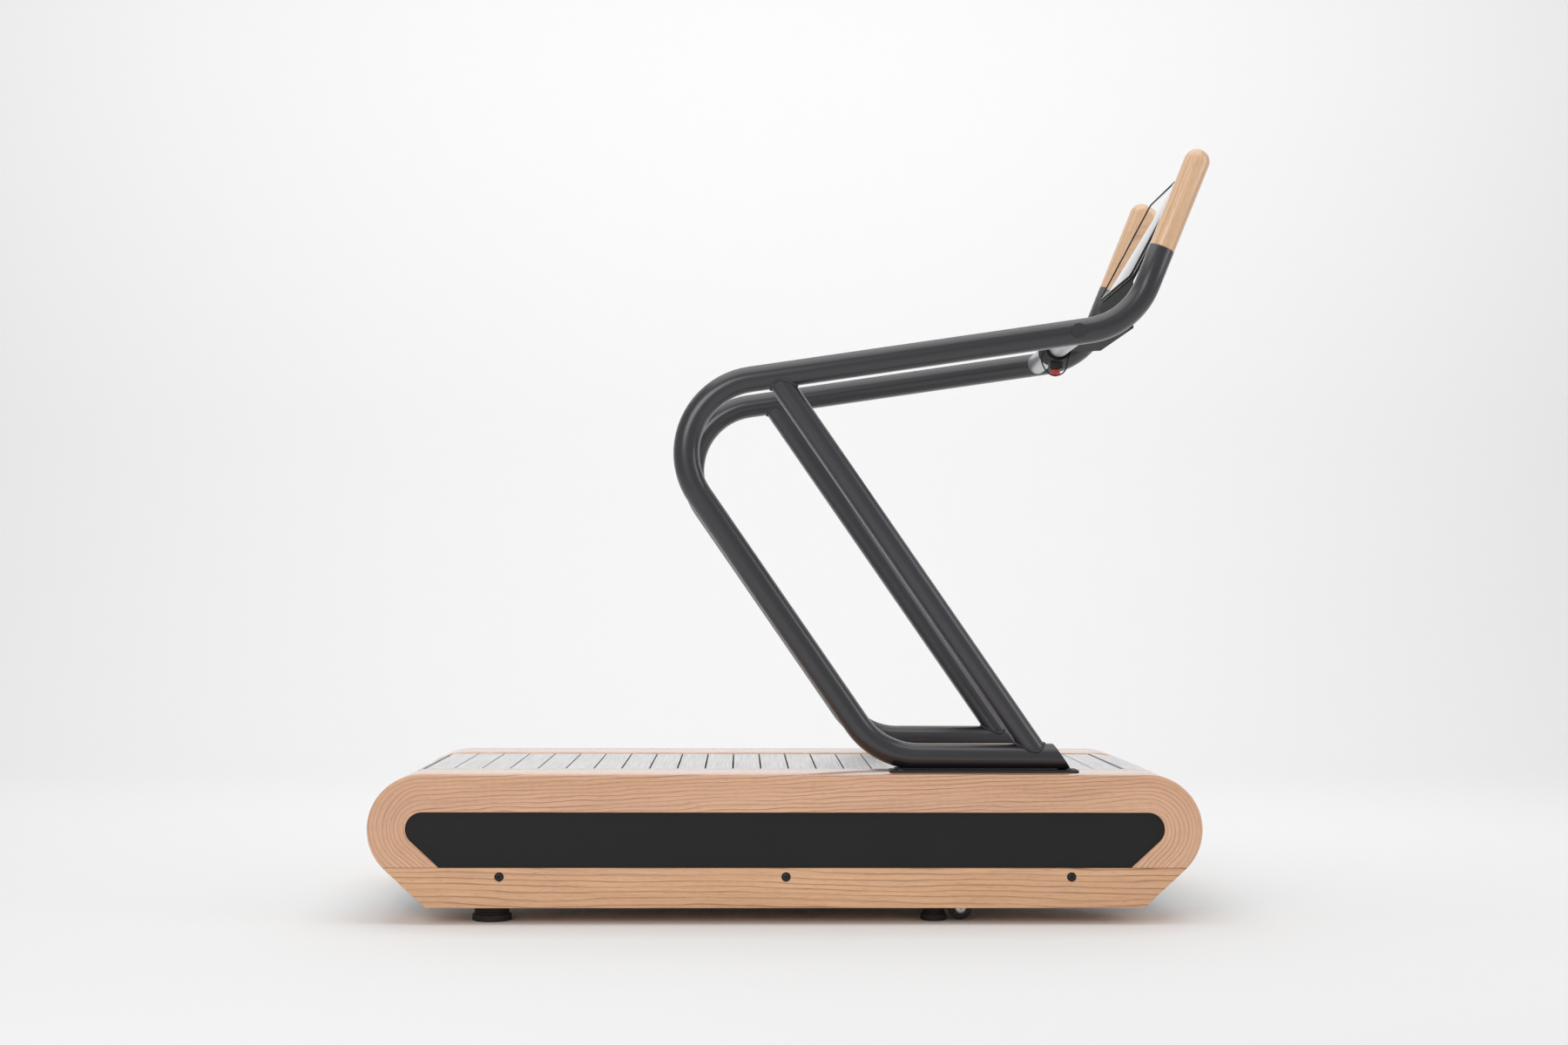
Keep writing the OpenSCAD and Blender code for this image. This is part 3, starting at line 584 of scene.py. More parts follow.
def bead_tree():
    """Lays overlapping flat drops along a line of points, as a weld's ripples."""
    if "WeldBead" in bpy.data.node_groups:
        return bpy.data.node_groups["WeldBead"]
    tree, given = open_tree("WeldBead", ("Spacing", "Float"), ("Radius", "Float"))
    route = add(tree, "GeometryNodeMeshToCurve", {"Mesh": given["Geometry"]})
    points = add(tree, "GeometryNodeCurveToPoints", {
        "Curve": route.outputs["Curve"], "Length": given["Spacing"]}, mode="LENGTH")
    drop = add(tree, "GeometryNodeMeshUVSphere", {"Radius": given["Radius"]}, Segments=10, Rings=6)
    copies = add(tree, "GeometryNodeInstanceOnPoints", {
        "Points": points.outputs["Points"], "Instance": drop.outputs["Mesh"],
        "Rotation": points.outputs["Rotation"]}, Scale=(1.0, 1.0, 0.62))
    return close_tree(tree, copies, given["Material"])


def grow(piece, tree, **inputs):
    """Runs a piece through a node tree with named inputs, and keeps the result as its mesh."""
    change = piece.modifiers.new("Grow", "NODES")
    change.node_group = tree
    for item in tree.interface.items_tree:
        key = item.name.replace(" ", "_").lower()
        if item.in_out == "INPUT" and key in inputs:
            change[item.identifier] = inputs[key]
    apply_modifiers(piece)
    soften(piece)
    return piece


def repeat(piece, count, start, step, finish, first_turn=0.0, turn_step=0.0):
    """Copies a piece along a step."""
    return grow(piece, repeat_tree(), count=count, start=tuple(start), step=tuple(step),
                first_turn=first_turn, turn_step=turn_step, material=finish)


def merge(name, pieces):
    """Joins pieces into one mesh."""
    build = bmesh.new()
    for piece in pieces:
        build.from_mesh(piece.data)
    mesh = pieces[0].data.copy()
    build.to_mesh(mesh)
    build.free()
    for piece in pieces:
        bpy.data.objects.remove(piece)
    joined = bpy.data.objects.new(name, mesh)
    mesh.name = name
    bpy.context.scene.collection.objects.link(joined)
    soften(joined)
    return joined


# ---- Outlines and paths ----

def xz(point, y=0.0):
    """A point of X and Z at a distance across the deck."""
    return Vector((point[0], y, point[1]))


def low_end(radius, z_low):
    """The front end's sloping part: its tangent point on a radius, and where it meets a height."""
    slope = bpy.context.scene.treadmill_wood.end_slope
    tangent = Vector((END_X + radius * math.sin(slope), FRONT_AXLE.z - radius * math.cos(slope)))
    return tangent, Vector((tangent.x - (tangent.y - z_low) / math.tan(slope), z_low))


def mirrored(points):
    """A front outline with its mirror image at the rear, in order."""
    return points + [Vector((2 * DECK_X - p.x, p.y)) for p in reversed(points)]


def bent_path(corners, radius, steps=14):
    """A run of straights through corners in the X and Z plane, with arcs of a radius."""
    path = [Vector(corners[0])]
    for before, here, after in zip(corners, corners[1:], corners[2:]):
        back, onward = (before - here).normalized(), (after - here).normalized()
        half = back.angle(onward) / 2
        centre = here + (back + onward).normalized() * radius / math.sin(half)
        first = here + back * radius / math.tan(half) - centre
        last = here + onward * radius / math.tan(half) - centre
        turn = last.angle_signed(first)
        path += [centre + Matrix.Rotation(turn * i / steps, 2) @ first for i in range(steps + 1)]
    return path + [Vector(corners[-1])]


def tube(name, path, radius, finish, sides=48):
    """A closed round bar along a path of 3D points."""
    vertices, faces = [], []
    normal = None
    for i, point in enumerate(path):
        way = (path[min(i + 1, len(path) - 1)] - path[max(i - 1, 0)]).normalized()
        if normal is None:
            normal = way.orthogonal().normalized()
        normal = (normal - way * normal.dot(way)).normalized()
        across = way.cross(normal)
        for k in range(sides):
            turn = 2 * math.pi * k / sides
            vertices.append(point + radius * (math.cos(turn) * normal + math.sin(turn) * across))
    for i in range(len(path) - 1):
        for k in range(sides):
            faces.append((i * sides + k, i * sides + (k + 1) % sides,
                          (i + 1) * sides + (k + 1) % sides, (i + 1) * sides + k))
    last = (len(path) - 1) * sides
    faces += [tuple(range(sides)), tuple(range(last + sides - 1, last - 1, -1))]
    piece = new_piece(name, vertices, faces, finish, smooth=False)
    face_outwards(piece)
    soften(piece)
    return piece


def slice_off(piece, point, normal):
    """Removes what lies beyond a plane and closes the opening."""
    build = bmesh.new()
    build.from_mesh(piece.data)
    everything = build.verts[:] + build.edges[:] + build.faces[:]
    bmesh.ops.bisect_plane(build, geom=everything, plane_co=point, plane_no=normal, clear_outer=True)
    bmesh.ops.holes_fill(build, edges=[e for e in build.edges if e.is_boundary], sides=0)
    bmesh.ops.recalc_face_normals(build, faces=build.faces)
    build.to_mesh(piece.data)
    build.free()
    soften(piece)
    return piece


def hand_frame_corners():
    """The hand frame's corners in X and Z, from base end to grip end."""
    hand = bpy.context.scene.treadmill_frame
    leg = Vector((-math.cos(hand.leg_slope), math.sin(hand.leg_slope)))
    upper = Vector((math.cos(hand.upper_rise), math.sin(hand.upper_rise)))
    handle = Vector((math.sin(hand.handle_tilt), math.cos(hand.handle_tilt)))
    base_corner = Vector((DECK_X + hand.base_corner, TUBE_Z))
    base_end = base_corner + Vector((hand.base_front, 0))
    rear = base_corner + leg * hand.leg_len
    front = rear + upper * hand.upper_len
    neck = front + handle * hand.neck_len
    return base_end, base_corner, rear, front, neck, leg, upper, handle


# ---- Pieces ----

def make_arch(side, sign):
    """The bent layered arch, with a texture layout that follows its bend."""
    timber = bpy.context.scene.treadmill_wood
    y0, y1 = sorted((sign * ARCH_LOW.y, sign * ARCH_HIGH.y))
    section = rounded([(INNER_R, y0), (END_R, y0), (END_R, y1), (INNER_R, y1)], timber.edge_r, 4)
    slope = timber.end_slope
    axis = Vector((END_X, FRONT_AXLE.z))
    flat_steps, arc_steps, slope_steps = 10, 34, 3
    half = [(Vector((DECK_X + (END_X - DECK_X) * i / flat_steps, FRONT_AXLE.z)), math.pi / 2)
            for i in range(flat_steps)]
    half += [(axis, math.pi / 2 - (math.pi - slope) * i / arc_steps) for i in range(arc_steps + 1)]
    down = Vector((-math.cos(slope), -math.sin(slope)))
    half += [(axis + down * INNER_R * i, slope - math.pi / 2) for i in range(1, slope_steps + 1)]
    rear = [(Vector((2 * DECK_X - p.x, p.y)), math.pi - a) for p, a in reversed(half[1:])]
    stations = rear + half
    middle = (INNER_R + END_R) / 2
    vertices, lengths, travelled, previous = [], [], 0.0, None
    for origin, angle in stations:
        normal = Vector((math.cos(angle), math.sin(angle)))
        here = origin + normal * middle
        travelled += (here - previous).length if previous else 0.0
        previous = here
        lengths.append(travelled)
        vertices += [xz(origin + normal * r, y) for r, y in section]
    count = len(section)
    around = [0.0]
    for k in range(count):
        around.append(around[-1] + (section[(k + 1) % count] - section[k]).length)
    faces = [(i * count + k, i * count + (k + 1) % count,
              (i + 1) * count + (k + 1) % count, (i + 1) * count + k)
             for i in range(len(stations) - 1) for k in range(count)]
    arch = new_piece(f"{side}_wooden_arch", vertices, faces, finishes()["arch_wood"], smooth=False)
    layout = arch.data.uv_layers.new(name="Grain")
    shift = 0.37 if sign > 0 else 0.0
    for face in arch.data.polygons:
        i, k = divmod(face.index, count)
        corners = ((i, k), (i, k + 1), (i + 1, k + 1), (i + 1, k))
        for loop, (station, ring) in zip(face.loop_indices, corners):
            layout.data[loop].uv = (lengths[station] + shift, around[ring] + shift)
    slice_off(arch, (0, 0, ARCH_LOW.z + JOINT_GAP), (0, 0, -1))
    return settle(arch, "frame", "arch_wood", f"{side}_side_arch")


def counterbores():
    """Where the side screws sit: distances along the deck, and their height."""
    low, high = (Vector(corner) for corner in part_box("left_side_screws"))
    reach = (high.x - low.x - (high.z - low.z)) / 2
    return reach, (high.z + low.z) / 2, (high.z - low.z) / 2


def make_rail(side, sign):
    """The flat-sawn bottom rail with its counterbores and the wheel's pocket."""
    timber = bpy.context.scene.treadmill_wood
    y0, y1 = sorted((sign * RAIL_LOW.y, sign * RAIL_HIGH.y))
    tangent, low = low_end(END_R, RAIL_LOW.z)
    top = math.asin((RAIL_HIGH.z - FRONT_AXLE.z) / END_R)
    corner = Vector((END_X + END_R * math.cos(top), RAIL_HIGH.z - JOINT_GAP))
    rail = prism(f"{side}_wooden_rail", mirrored([low, tangent, corner]), y0, y1,
                 finishes()["rail_wood"])
    bevel(rail, timber.edge_r * 0.7, 3, 20)
    reach, height, head_r = counterbores()
    outward = Vector((0, sign, 0))
    deep, bore_r, past = 0.005, head_r + 0.001, 0.0015
    drill = [(0, 0), (bore_r, 0), (bore_r, deep), (head_r + 0.0018, deep + past), (0, deep + past)]
    for x in (-reach, 0, reach):
        seat = turn_about(Vector((DECK_X + x, sign * (RAIL_HIGH.y - deep), height)), outward)
        cut(rail, lathe("drill", drill, seat, finishes()["rail_wood"]))
    wheel_low, wheel_high = (Vector(corner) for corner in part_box(f"{side}_wheel"))
    beside, above, across = 0.003, 0.007, 0.008
    x0, x1, top_z = wheel_low.x - beside, wheel_high.x + beside, wheel_high.z + above
    pocket = [(x0, 0), (x1, 0), (x1, top_z), (x0, top_z)]
    cut(rail, prism("pocket", pocket, wheel_low.y - across, wheel_high.y + across, finishes()["rail_wood"]))
    soften(rail)
    return settle(rail, "frame", "rail_wood", f"{side}_bottom_rail")


def button_head(name, radius, height, axis, finish, seat=(0, 0, 0)):
    """A domed screw head with a hexagon socket, at the origin, facing along an axis."""
    place = turn_about(Vector(seat), Vector(axis))
    crown = [(0, -0.002), (radius, -0.002), (radius, height * 0.25), (radius * 0.93, height * 0.55),
             (radius * 0.78, height * 0.82), (radius * 0.58, height), (0, height)]
    head = lathe(name, crown, place, finish, 40, 50)
    key = radius * 0.40
    hexagon = [(0, height * 0.25), (key, height * 0.25), (key, height * 2), (0, height * 2)]
    return cut(head, lathe("key", hexagon, place, finish, 6))


class TREADMILL_OT_sides(bpy.types.Operator):
    """Wooden arches and rails, and their screws"""
    bl_idname = "treadmill.sides"
    bl_label = "Wooden Sides"

    def execute(self, context):
        reach, height, head_r = counterbores()
        head_h, sunk = 0.0042, 0.0045
        black = finishes()["black_screws"]
        for side, sign in SIDES:
            make_arch(side, sign)
            make_rail(side, sign)
            head = button_head(f"{side}_side_screw_heads", head_r, head_h, (0, sign, 0), black)
            start = Vector((DECK_X - reach, sign * (RAIL_HIGH.y - sunk), height))
            repeat(head, 3, start, (reach, 0, 0), black)
            settle(head, "frame", "black_screws", f"{side}_side_screws")
        return {"FINISHED"}


def slat(name):
    """One extruded slat with grooved top and a rib, above the loop's centre of turning."""
    belt = bpy.context.scene.treadmill_belt
    outer = SLATS_HIGH.z - FRONT_AXLE.z
    inner = outer - belt.thickness
    half, edge = belt.width / 2, 0.0007
    groove_w, groove_d = 0.0008, 0.0004
    top = []
    for i in range(belt.grooves):
        middle = half - edge - (2 * (half - edge)) * (i + 0.5) / belt.grooves
        top += [(middle + groove_w, outer), (middle, outer - groove_d), (middle - groove_w, outer)]
    corner = [(edge * math.sin(a), edge * (1 - math.cos(a)))
              for a in (0, math.pi / 6, math.pi / 3, math.pi / 2)]
    right = [(half - edge + dx, outer - dz) for dx, dz in reversed(corner)]
    left = [(-half + edge - dx, outer - dz) for dx, dz in corner]
    # The sides step in under the top, which keeps the gaps between slats dark.
    step_in, top_t, slant = 0.0045, 0.0030, 0.0015
    under = [(-half, outer - top_t), (-half + step_in, outer - top_t - slant), (-half + step_in, inner),
             (half - step_in, inner), (half - step_in, outer - top_t - slant), (half, outer - top_t)]
    plank = prism(name, under + right + top + left,
                  SLATS_LOW.y, SLATS_HIGH.y, finishes()["slat_aluminium"])
    # The rib ends short of the drive bands, and stops just under the plank.
    rib_y, rib_top, rib_low = 0.167, inner - 0.0001, inner - belt.rib_h
    rib = prism("rib", [(-belt.rib_w / 2, rib_low), (belt.rib_w / 2, rib_low),
                        (belt.rib_w / 2, rib_top), (-belt.rib_w / 2, rib_top)],
                -rib_y, rib_y, finishes()["slat_aluminium"])
    return merge(name, [plank, rib])


class TREADMILL_OT_belt(bpy.types.Operator):
    """The slats of the two straight runs and of the two ends"""
    bl_idname = "treadmill.belt"
    bl_label = "Slat Belt"

    def execute(self, context):
        belt = context.scene.treadmill_belt
        pitch_r = belt.per_end * belt.pitch / math.pi
        first, step = belt.phase / pitch_r, belt.pitch / pitch_r
        ahead = Vector((belt.pitch, 0, 0))
        into = Vector((belt.phase, 0, 0))
        still = Vector((0, 0, 0))
        metal = finishes()["slat_aluminium"]
        rows = (("top", belt.per_run, REAR_AXLE + into, ahead, 0.0, 0.0),
                ("front", belt.per_end, FRONT_AXLE, still, first, step),
                ("bottom", belt.per_run, FRONT_AXLE - into, -ahead, math.pi, 0.0),
                ("rear", belt.per_end, REAR_AXLE, still, math.pi + first, step))
        for place, count, start, offset, turn, turn_step in rows:
            run = slat(f"{place}_slats")
            repeat(run, count, start, offset, metal, turn, turn_step)
            settle(run, f"belt_{place}", "slat_aluminium", f"belt_{place}_slats")
        return {"FINISHED"}


def saddle(centre, way, radius, axis_point, axis, tube_r, steps=60):
    """The closed line where a bar's surface meets a tube's, on the side that the bar leaves from."""
    across = Vector((0, 1, 0))
    normal = way.cross(across).normalized()
    line = []
    for k in range(steps):
        turn = 2 * math.pi * k / steps
        start = centre + radius * (math.cos(turn) * normal + math.sin(turn) * across) - axis_point
        a_start, a_way = start - axis * start.dot(axis), way - axis * way.dot(axis)
        b, c = a_start.dot(a_way), a_start.dot(a_start) - tube_r ** 2
        reach = (-b + math.sqrt(max(b * b - a_way.dot(a_way) * c, 0))) / a_way.dot(a_way)
        line.append(start + way * reach + axis_point)
    return line


def weld(name, line, closed, finish, spacing=0.0026, radius=0.0034):
    """A rippled weld bead along a line of points."""
    mesh = bpy.data.meshes.new(name)
    edges = [(i, i + 1) for i in range(len(line) - 1)]
    if closed:
        edges.append((len(line) - 1, 0))
    mesh.from_pydata([tuple(p) for p in line], edges, [])
    bead = bpy.data.objects.new(name, mesh)
    bpy.context.scene.collection.objects.link(bead)
    return grow(bead, bead_tree(), spacing=spacing, radius=radius, material=finish)


class TREADMILL_OT_hand_frame(bpy.types.Operator):
    """Bent tubes, braces, weld beads, foot plates, bolts and grips"""
    bl_idname = "treadmill.hand_frame"
    bl_label = "Hand Frame"

    def execute(self, context):
        hand = context.scene.treadmill_frame
        base_end, base_corner, rear, front, neck, leg, upper, handle = hand_frame_corners()
        black, plate_finish = finishes()["frame_black"], finishes()["plate_black"]
        brace_foot = base_corner + Vector((hand.brace_offset, 0))
        to_upper = rear - brace_foot
        brace_len = (to_upper.x * upper.y - to_upper.y * upper.x) / (leg.x * upper.y - leg.y * upper.x)
        brace_top = brace_foot + leg * brace_len
        bolts = []
        bead_in, bead_y, bead_z = 0.012, 0.0105, PLATE_HIGH.z + 0.0012
        bolt_in, bolt_r, bolt_h = 0.022, 0.0065, 0.004
        span_x = PLATE_HIGH.x - PLATE_LOW.x - 2 * bolt_in
        across = (PLATE_HIGH.y - PLATE_LOW.y) / 2 - 0.008
        for side, sign in SIDES:
            y = sign * SIDE_MID_Y
            path = [xz(p, y) for p in bent_path([base_end, base_corner, rear, front, neck], hand.bend_r, 22)]
            bar = tube(f"{side}_bent_tube", path, TUBE_R, black)
            # The base tube's open end is cut along the slope of the leg.
            for vertex in bar.data.vertices:
                if abs(vertex.co.x - base_end.x) < 1e-5:
                    vertex.co.x -= (vertex.co.z - base_end.y) / math.tan(hand.leg_slope)
            bevel(bar, 0.0009, 2, 40)
            settle(bar, "frame", "frame_black", f"{side}_frame_tube")
            brace = tube(f"{side}_brace_tube", [xz(brace_foot, y), xz(brace_top, y)], hand.brace_r, black)
            settle(brace, "frame", "frame_black", f"{side}_brace")
            rings = []
            for label, spot, way, axis in (("low", brace_foot, leg, Vector((1, 0))),
                                           ("high", brace_top, -leg, upper)):
                line = saddle(xz(spot, y), xz(way), hand.brace_r, xz(spot, y), xz(axis), TUBE_R)
                rings.append(weld(f"{side}_{label}_weld", line, True, black))
            for edge in (-1, 1):
                line = [Vector((x, y + edge * bead_y, bead_z))
                        for x in (PLATE_LOW.x + bead_in, base_end.x - bead_in)]
                rings.append(weld(f"{side}_foot_weld", line, False, black))
            settle(merge(f"{side}_weld_beads", rings), "frame", "frame_black")
            plate_y = sorted((sign * PLATE_LOW.y, sign * PLATE_HIGH.y))
            outline = rounded([(PLATE_LOW.x, plate_y[0]), (PLATE_HIGH.x, plate_y[0]),
                               (PLATE_HIGH.x, plate_y[1]), (PLATE_LOW.x, plate_y[1])], 0.008, 6)
            plate = flat_plate(f"{side}_mounting_plate", outline, PLATE_LOW.z, PLATE_HIGH.z, plate_finish)
            settle(plate, "frame", "plate_black", f"{side}_foot_plate")
            for edge in (-1, 1):
                head = button_head("bolt", bolt_r, bolt_h, (0, 0, 1), finishes()["black_screws"])
                start = Vector((PLATE_LOW.x + bolt_in, y + edge * across, PLATE_HIGH.z))
                bolts.append(repeat(head, 2, start, (span_x, 0, 0), finishes()["black_screws"]))
            self.make_grip(hand, side, xz(neck, y), xz(handle))
        settle(merge("foot_plate_bolt_heads", bolts), "frame", "black_screws", "plate_bolts")
        return {"FINISHED"}

    @staticmethod
    def make_grip(hand, side, start, way):
        """A turned wooden grip with a round end and a fine shadow groove at the tube."""
        edge, groove = 0.0012, 0.0003
        profile = [(0, groove), (TUBE_R - edge, groove), (TUBE_R - 0.0002, groove + edge),
                   (TUBE_R - 0.0001, hand.grip_len * 0.5)]
        profile += [(TUBE_R * math.cos(a), hand.grip_len + TUBE_R * math.sin(a))
                    for a in quarter(14, last=0)]
        profile.append((0, hand.grip_len + TUBE_R))
        grip = lathe(f"{side}_wooden_grip", profile, turn_about(start, way), finishes()["grip_wood"])
        settle(grip, "frame", "grip_wood", f"{side}_grip")


def flat_plate(name, outline, z0, z1, finish):
    """A flat plate from an outline of X and Y, with eased edges."""
    count = len(outline)
    vertices = [(x, y, z) for z in (z0, z1) for x, y in outline]
    faces = [(i, (i + 1) % count, count + (i + 1) % count, count + i) for i in range(count)]
    faces += [tuple(reversed(range(count))), tuple(range(count, 2 * count))]
    plate = new_piece(name, vertices, faces, finish, smooth=False)
    face_outwards(plate)
    return bevel(plate, 0.0008, 2, 50)


class TREADMILL_OT_display(bpy.types.Operator):
    """The thin display, its lock knob and the knob's lanyard"""
    bl_idname = "treadmill.display"
    bl_label = "Display"

    def execute(self, context):
        sizes = context.scene.treadmill_display
        lean = sizes.lean
        up = Vector((math.sin(lean), 0, math.cos(lean)))
        toward = Vector((-math.cos(lean), 0, math.sin(lean)))
        # The middle of the display's low edge, seen from the crossbar.
        foot = CROSSBAR + Vector((0.134, 0, 0.139))
        place = Matrix(((0, up.x, toward.x, foot.x), (1, up.y, toward.y, foot.y),
                        (0, up.z, toward.z, foot.z), (0, 0, 0, 1)))
        rim_w = 0.0018
        # Each layer: name, inset from the outline, corner radius, back, front and finish.
        layers = (("display_housing", 0.0, 0.014, -sizes.thickness, 0.0, "block_plastic"),
                  ("display_screen", 0.0018, 0.0122, -0.001, 0.0003, "display_glass"),
                  ("display_trim", -0.0004, 0.0144, -0.0062, -0.0046, "crossbar_silver"),
                  ("display_bezel", 0.0003, 0.0137, -0.0014, 0.0007, "block_plastic"))
        for name, inset, corner_r, back, front, slot in layers:
            half, high = sizes.width / 2 - inset, sizes.height - inset
            outline = rounded([(-half, inset), (half, inset), (half, high), (-half, high)], corner_r, 8)
            piece = flat_plate(name, outline, back, front, finishes()[slot])
            if name == "display_bezel":
                inner, top = half - rim_w, high - rim_w
                opening = rounded([(-inner, rim_w), (inner, rim_w), (inner, top), (-inner, top)],
                                  corner_r - rim_w, 8)
                cut(piece, flat_plate("opening", opening, back - 0.001, front + 0.001, finishes()[slot]))
            piece.data.transform(place)
            face_outwards(piece)
            soften(piece)
            nodes = ("display_panel",) if name == "display_housing" else ()
            settle(piece, "display", slot, *nodes)
        self.make_knob()
        self.make_lanyard()
        return {"FINISHED"}

    @staticmethod
    def make_knob():
        """A ribbed red knob with a rounded rim and a small tip."""
        low, high = (Vector(corner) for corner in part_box("lock_knob"))
        radius, tip = (high.x - low.x) / 2, 0.004
        place = Matrix.Translation((CROSSBAR.x, 0, low.z + tip))
        thick = 0.012
        profile = [(0, -tip), (0.0030, -tip), (0.0038, -tip + 0.001), (0.0038, 0), (radius * 0.8, 0),
                   (radius * 0.94, 0.0008), (radius, 0.0026), (radius, thick - 0.0026),
                   (radius * 0.94, thick - 0.0006), (radius * 0.82, thick), (0, thick)]
        knob = lathe("ribbed_lock_knob", profile, place, finishes()["knob_red"], 96)
        ribs, depth = 12, 0.055
        for vertex in knob.data.vertices:
            x, y = vertex.co.x - CROSSBAR.x, vertex.co.y
            if math.hypot(x, y) > radius * 0.9:
                swell = 1 - depth * (0.5 + 0.5 * math.cos(ribs * math.atan2(y, x)))
                vertex.co.x, vertex.co.y = CROSSBAR.x + x * swell, y * swell
        settle(knob, "lock_knob", "knob_red", "lock_knob")

    @staticmethod
    def make_lanyard():
        """The thin lanyard from the collar, round the knob and back."""
        route = [(-29, -22, -4), (-34, -22, -14), (-34, -21, -28), (-29, -20, -42), (-20, -19, -54),
                 (-8, -18, -61), (6, -18, -60), (17, -18, -53), (23, -19, -42), (25, -20, -30),
                 (28, -21, -20), (30, -22, -12), (27, -22, -6)]
        points = [CROSSBAR + Vector(p) * MM for p in route]
        path = []
        for i in range(len(points) - 1):
            a, b = points[max(i - 1, 0)], points[i]
            c, d = points[i + 1], points[min(i + 2, len(points) - 1)]
            for t in (0, 0.25, 0.5, 0.75):
                path.append(0.5 * (2 * b + (c - a) * t + (2 * a - 5 * b + 4 * c - d) * t ** 2
                                   + (3 * b - a - 3 * c + d) * t ** 3))
        path.append(points[-1])
        cord = tube("knob_lanyard", path, 0.0016, finishes()["lanyard_cord"], 16)
        settle(cord, "display", "lanyard_cord", "lock_lanyard")


class TREADMILL_OT_floor_parts(bpy.types.Operator):
    """Stepped rubber feet and the transport wheels"""
    bl_idname = "treadmill.floor_parts"
    bl_label = "Feet and Wheels"

    def execute(self, context):
        sizes = context.scene.treadmill_floor
        rubber = finishes()["foot_rubber"]
        top, lip = RAIL_LOW.z, 0.014
        pads = ((-sizes.rear_foot_x, sizes.rear_foot_r), (sizes.front_foot_x, sizes.front_foot_r))
        feet = []
        for _, sign in SIDES:
            for x, radius in pads:
                neck = radius - 0.005
                profile = [(0, 0), (radius - 0.0025, 0), (radius - 0.0006, 0.0008), (radius, 0.003),
                           (radius, lip - 0.003), (radius - 0.0008, lip - 0.001), (radius - 0.003, lip),
                           (neck + 0.0004, lip + 0.0004), (neck, lip + 0.0014)]
                for ring in (0.019, 0.024, 0.029):
                    profile += [(neck, ring - 0.001), (neck - 0.0012, ring), (neck, ring + 0.001)]
                profile += [(neck, top - 0.001), (neck - 0.001, top), (0, top)]
                place = Matrix.Translation((DECK_X + x, sign * SIDE_MID_Y, 0))
                feet.append(lathe("foot", profile, place, rubber, 72))
        settle(merge("stepped_rubber_feet", feet), "frame", "foot_rubber", "rubber_feet")
        caps = []
        for side, sign in SIDES:
            self.make_wheel(side)
            caps += self.make_pin_caps(side)
        settle(merge("wheel_pin_caps", caps), "frame", "pulley_aluminium")
        return {"FINISHED"}

    @staticmethod
    def make_pin_caps(side):
        """Domed caps that close the wheel's pin outside its two cheeks."""
        low, high = (Vector(corner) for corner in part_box(f"{side}_wheel"))
        centre, out = (low + high) / 2, (high.y - low.y) / 2 + 0.0055
        radius, thick = 0.0105, 0.0022
        dome = [(0, 0), (radius, 0), (radius, thick * 0.4), (radius * 0.9, thick * 0.8),
                (radius * 0.6, thick), (0.003, thick), (0.002, thick * 0.6), (0, thick * 0.6)]
        metal = finishes()["pulley_aluminium"]
        seats = [turn_about(centre + Vector((0, way * out, 0)), Vector((0, way, 0))) for way in (-1, 1)]
        return [lathe("cap", dome, seat, metal, 40) for seat in seats]

    @staticmethod
    def make_wheel(side):
        """A crowned tyre on a silver hub with a raised rim."""
        low, high = (Vector(corner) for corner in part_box(f"{side}_wheel"))
        centre, radius, half = (low + high) / 2, (high.z - low.z) / 2, (high.y - low.y) / 2
        place = turn_about(centre, Vector((0, 1, 0)))
        hub_r, bore, round_r = radius * 0.53, 0.00405, 0.004
        crown = [(radius - round_r + round_r * math.sin(a), half - round_r + round_r * math.cos(a))
                 for a in quarter(6)]
        section = [(hub_r, -half + 0.001), (hub_r, half - 0.001), (hub_r + 0.001, half)] + crown
        section += [(r, -h) for r, h in reversed(crown)] + [(hub_r + 0.001, -half)]
        section.append(section[0])
        tyre = lathe(f"{side}_tyre", section, place, finishes()["wheel_rubber"], 72)
        settle(tyre, f"{side}_wheel", "wheel_rubber", f"{side}_wheel")
        rim, web = hub_r - 0.0002, half * 0.55
        disc = [(bore, -half + 0.0006), (bore, half - 0.0006), (bore + 0.0025, half - 0.0006),
                (bore + 0.0035, web), (rim - 0.0032, web), (rim - 0.0024, half - 0.0008), (rim, half - 0.001),
                (rim, -half + 0.001), (rim - 0.0024, -half + 0.0008), (rim - 0.0032, -web),
                (bore + 0.0035, -web), (bore + 0.0025, -half + 0.0006)]
        disc.append(disc[0])
        hub = lathe(f"{side}_hub", disc, place, finishes()["pulley_aluminium"], 64)
        settle(hub, f"{side}_wheel", "inner_steel")


# ---- Stage ----

def area_light(name, place, target, power, width, depth):
    """A soft rectangular light that faces a point."""
    lamp = bpy.data.lights.new(name, "AREA")
    lamp.energy, lamp.shape, lamp.size, lamp.size_y = power, "RECTANGLE", width, depth
    holder = bpy.data.objects.new(name, lamp)
    holder.location = place
    holder.rotation_euler = (Vector(target) - Vector(place)).to_track_quat("-Z", "Y").to_euler()
    bpy.context.scene.collection.objects.link(holder)
    return holder


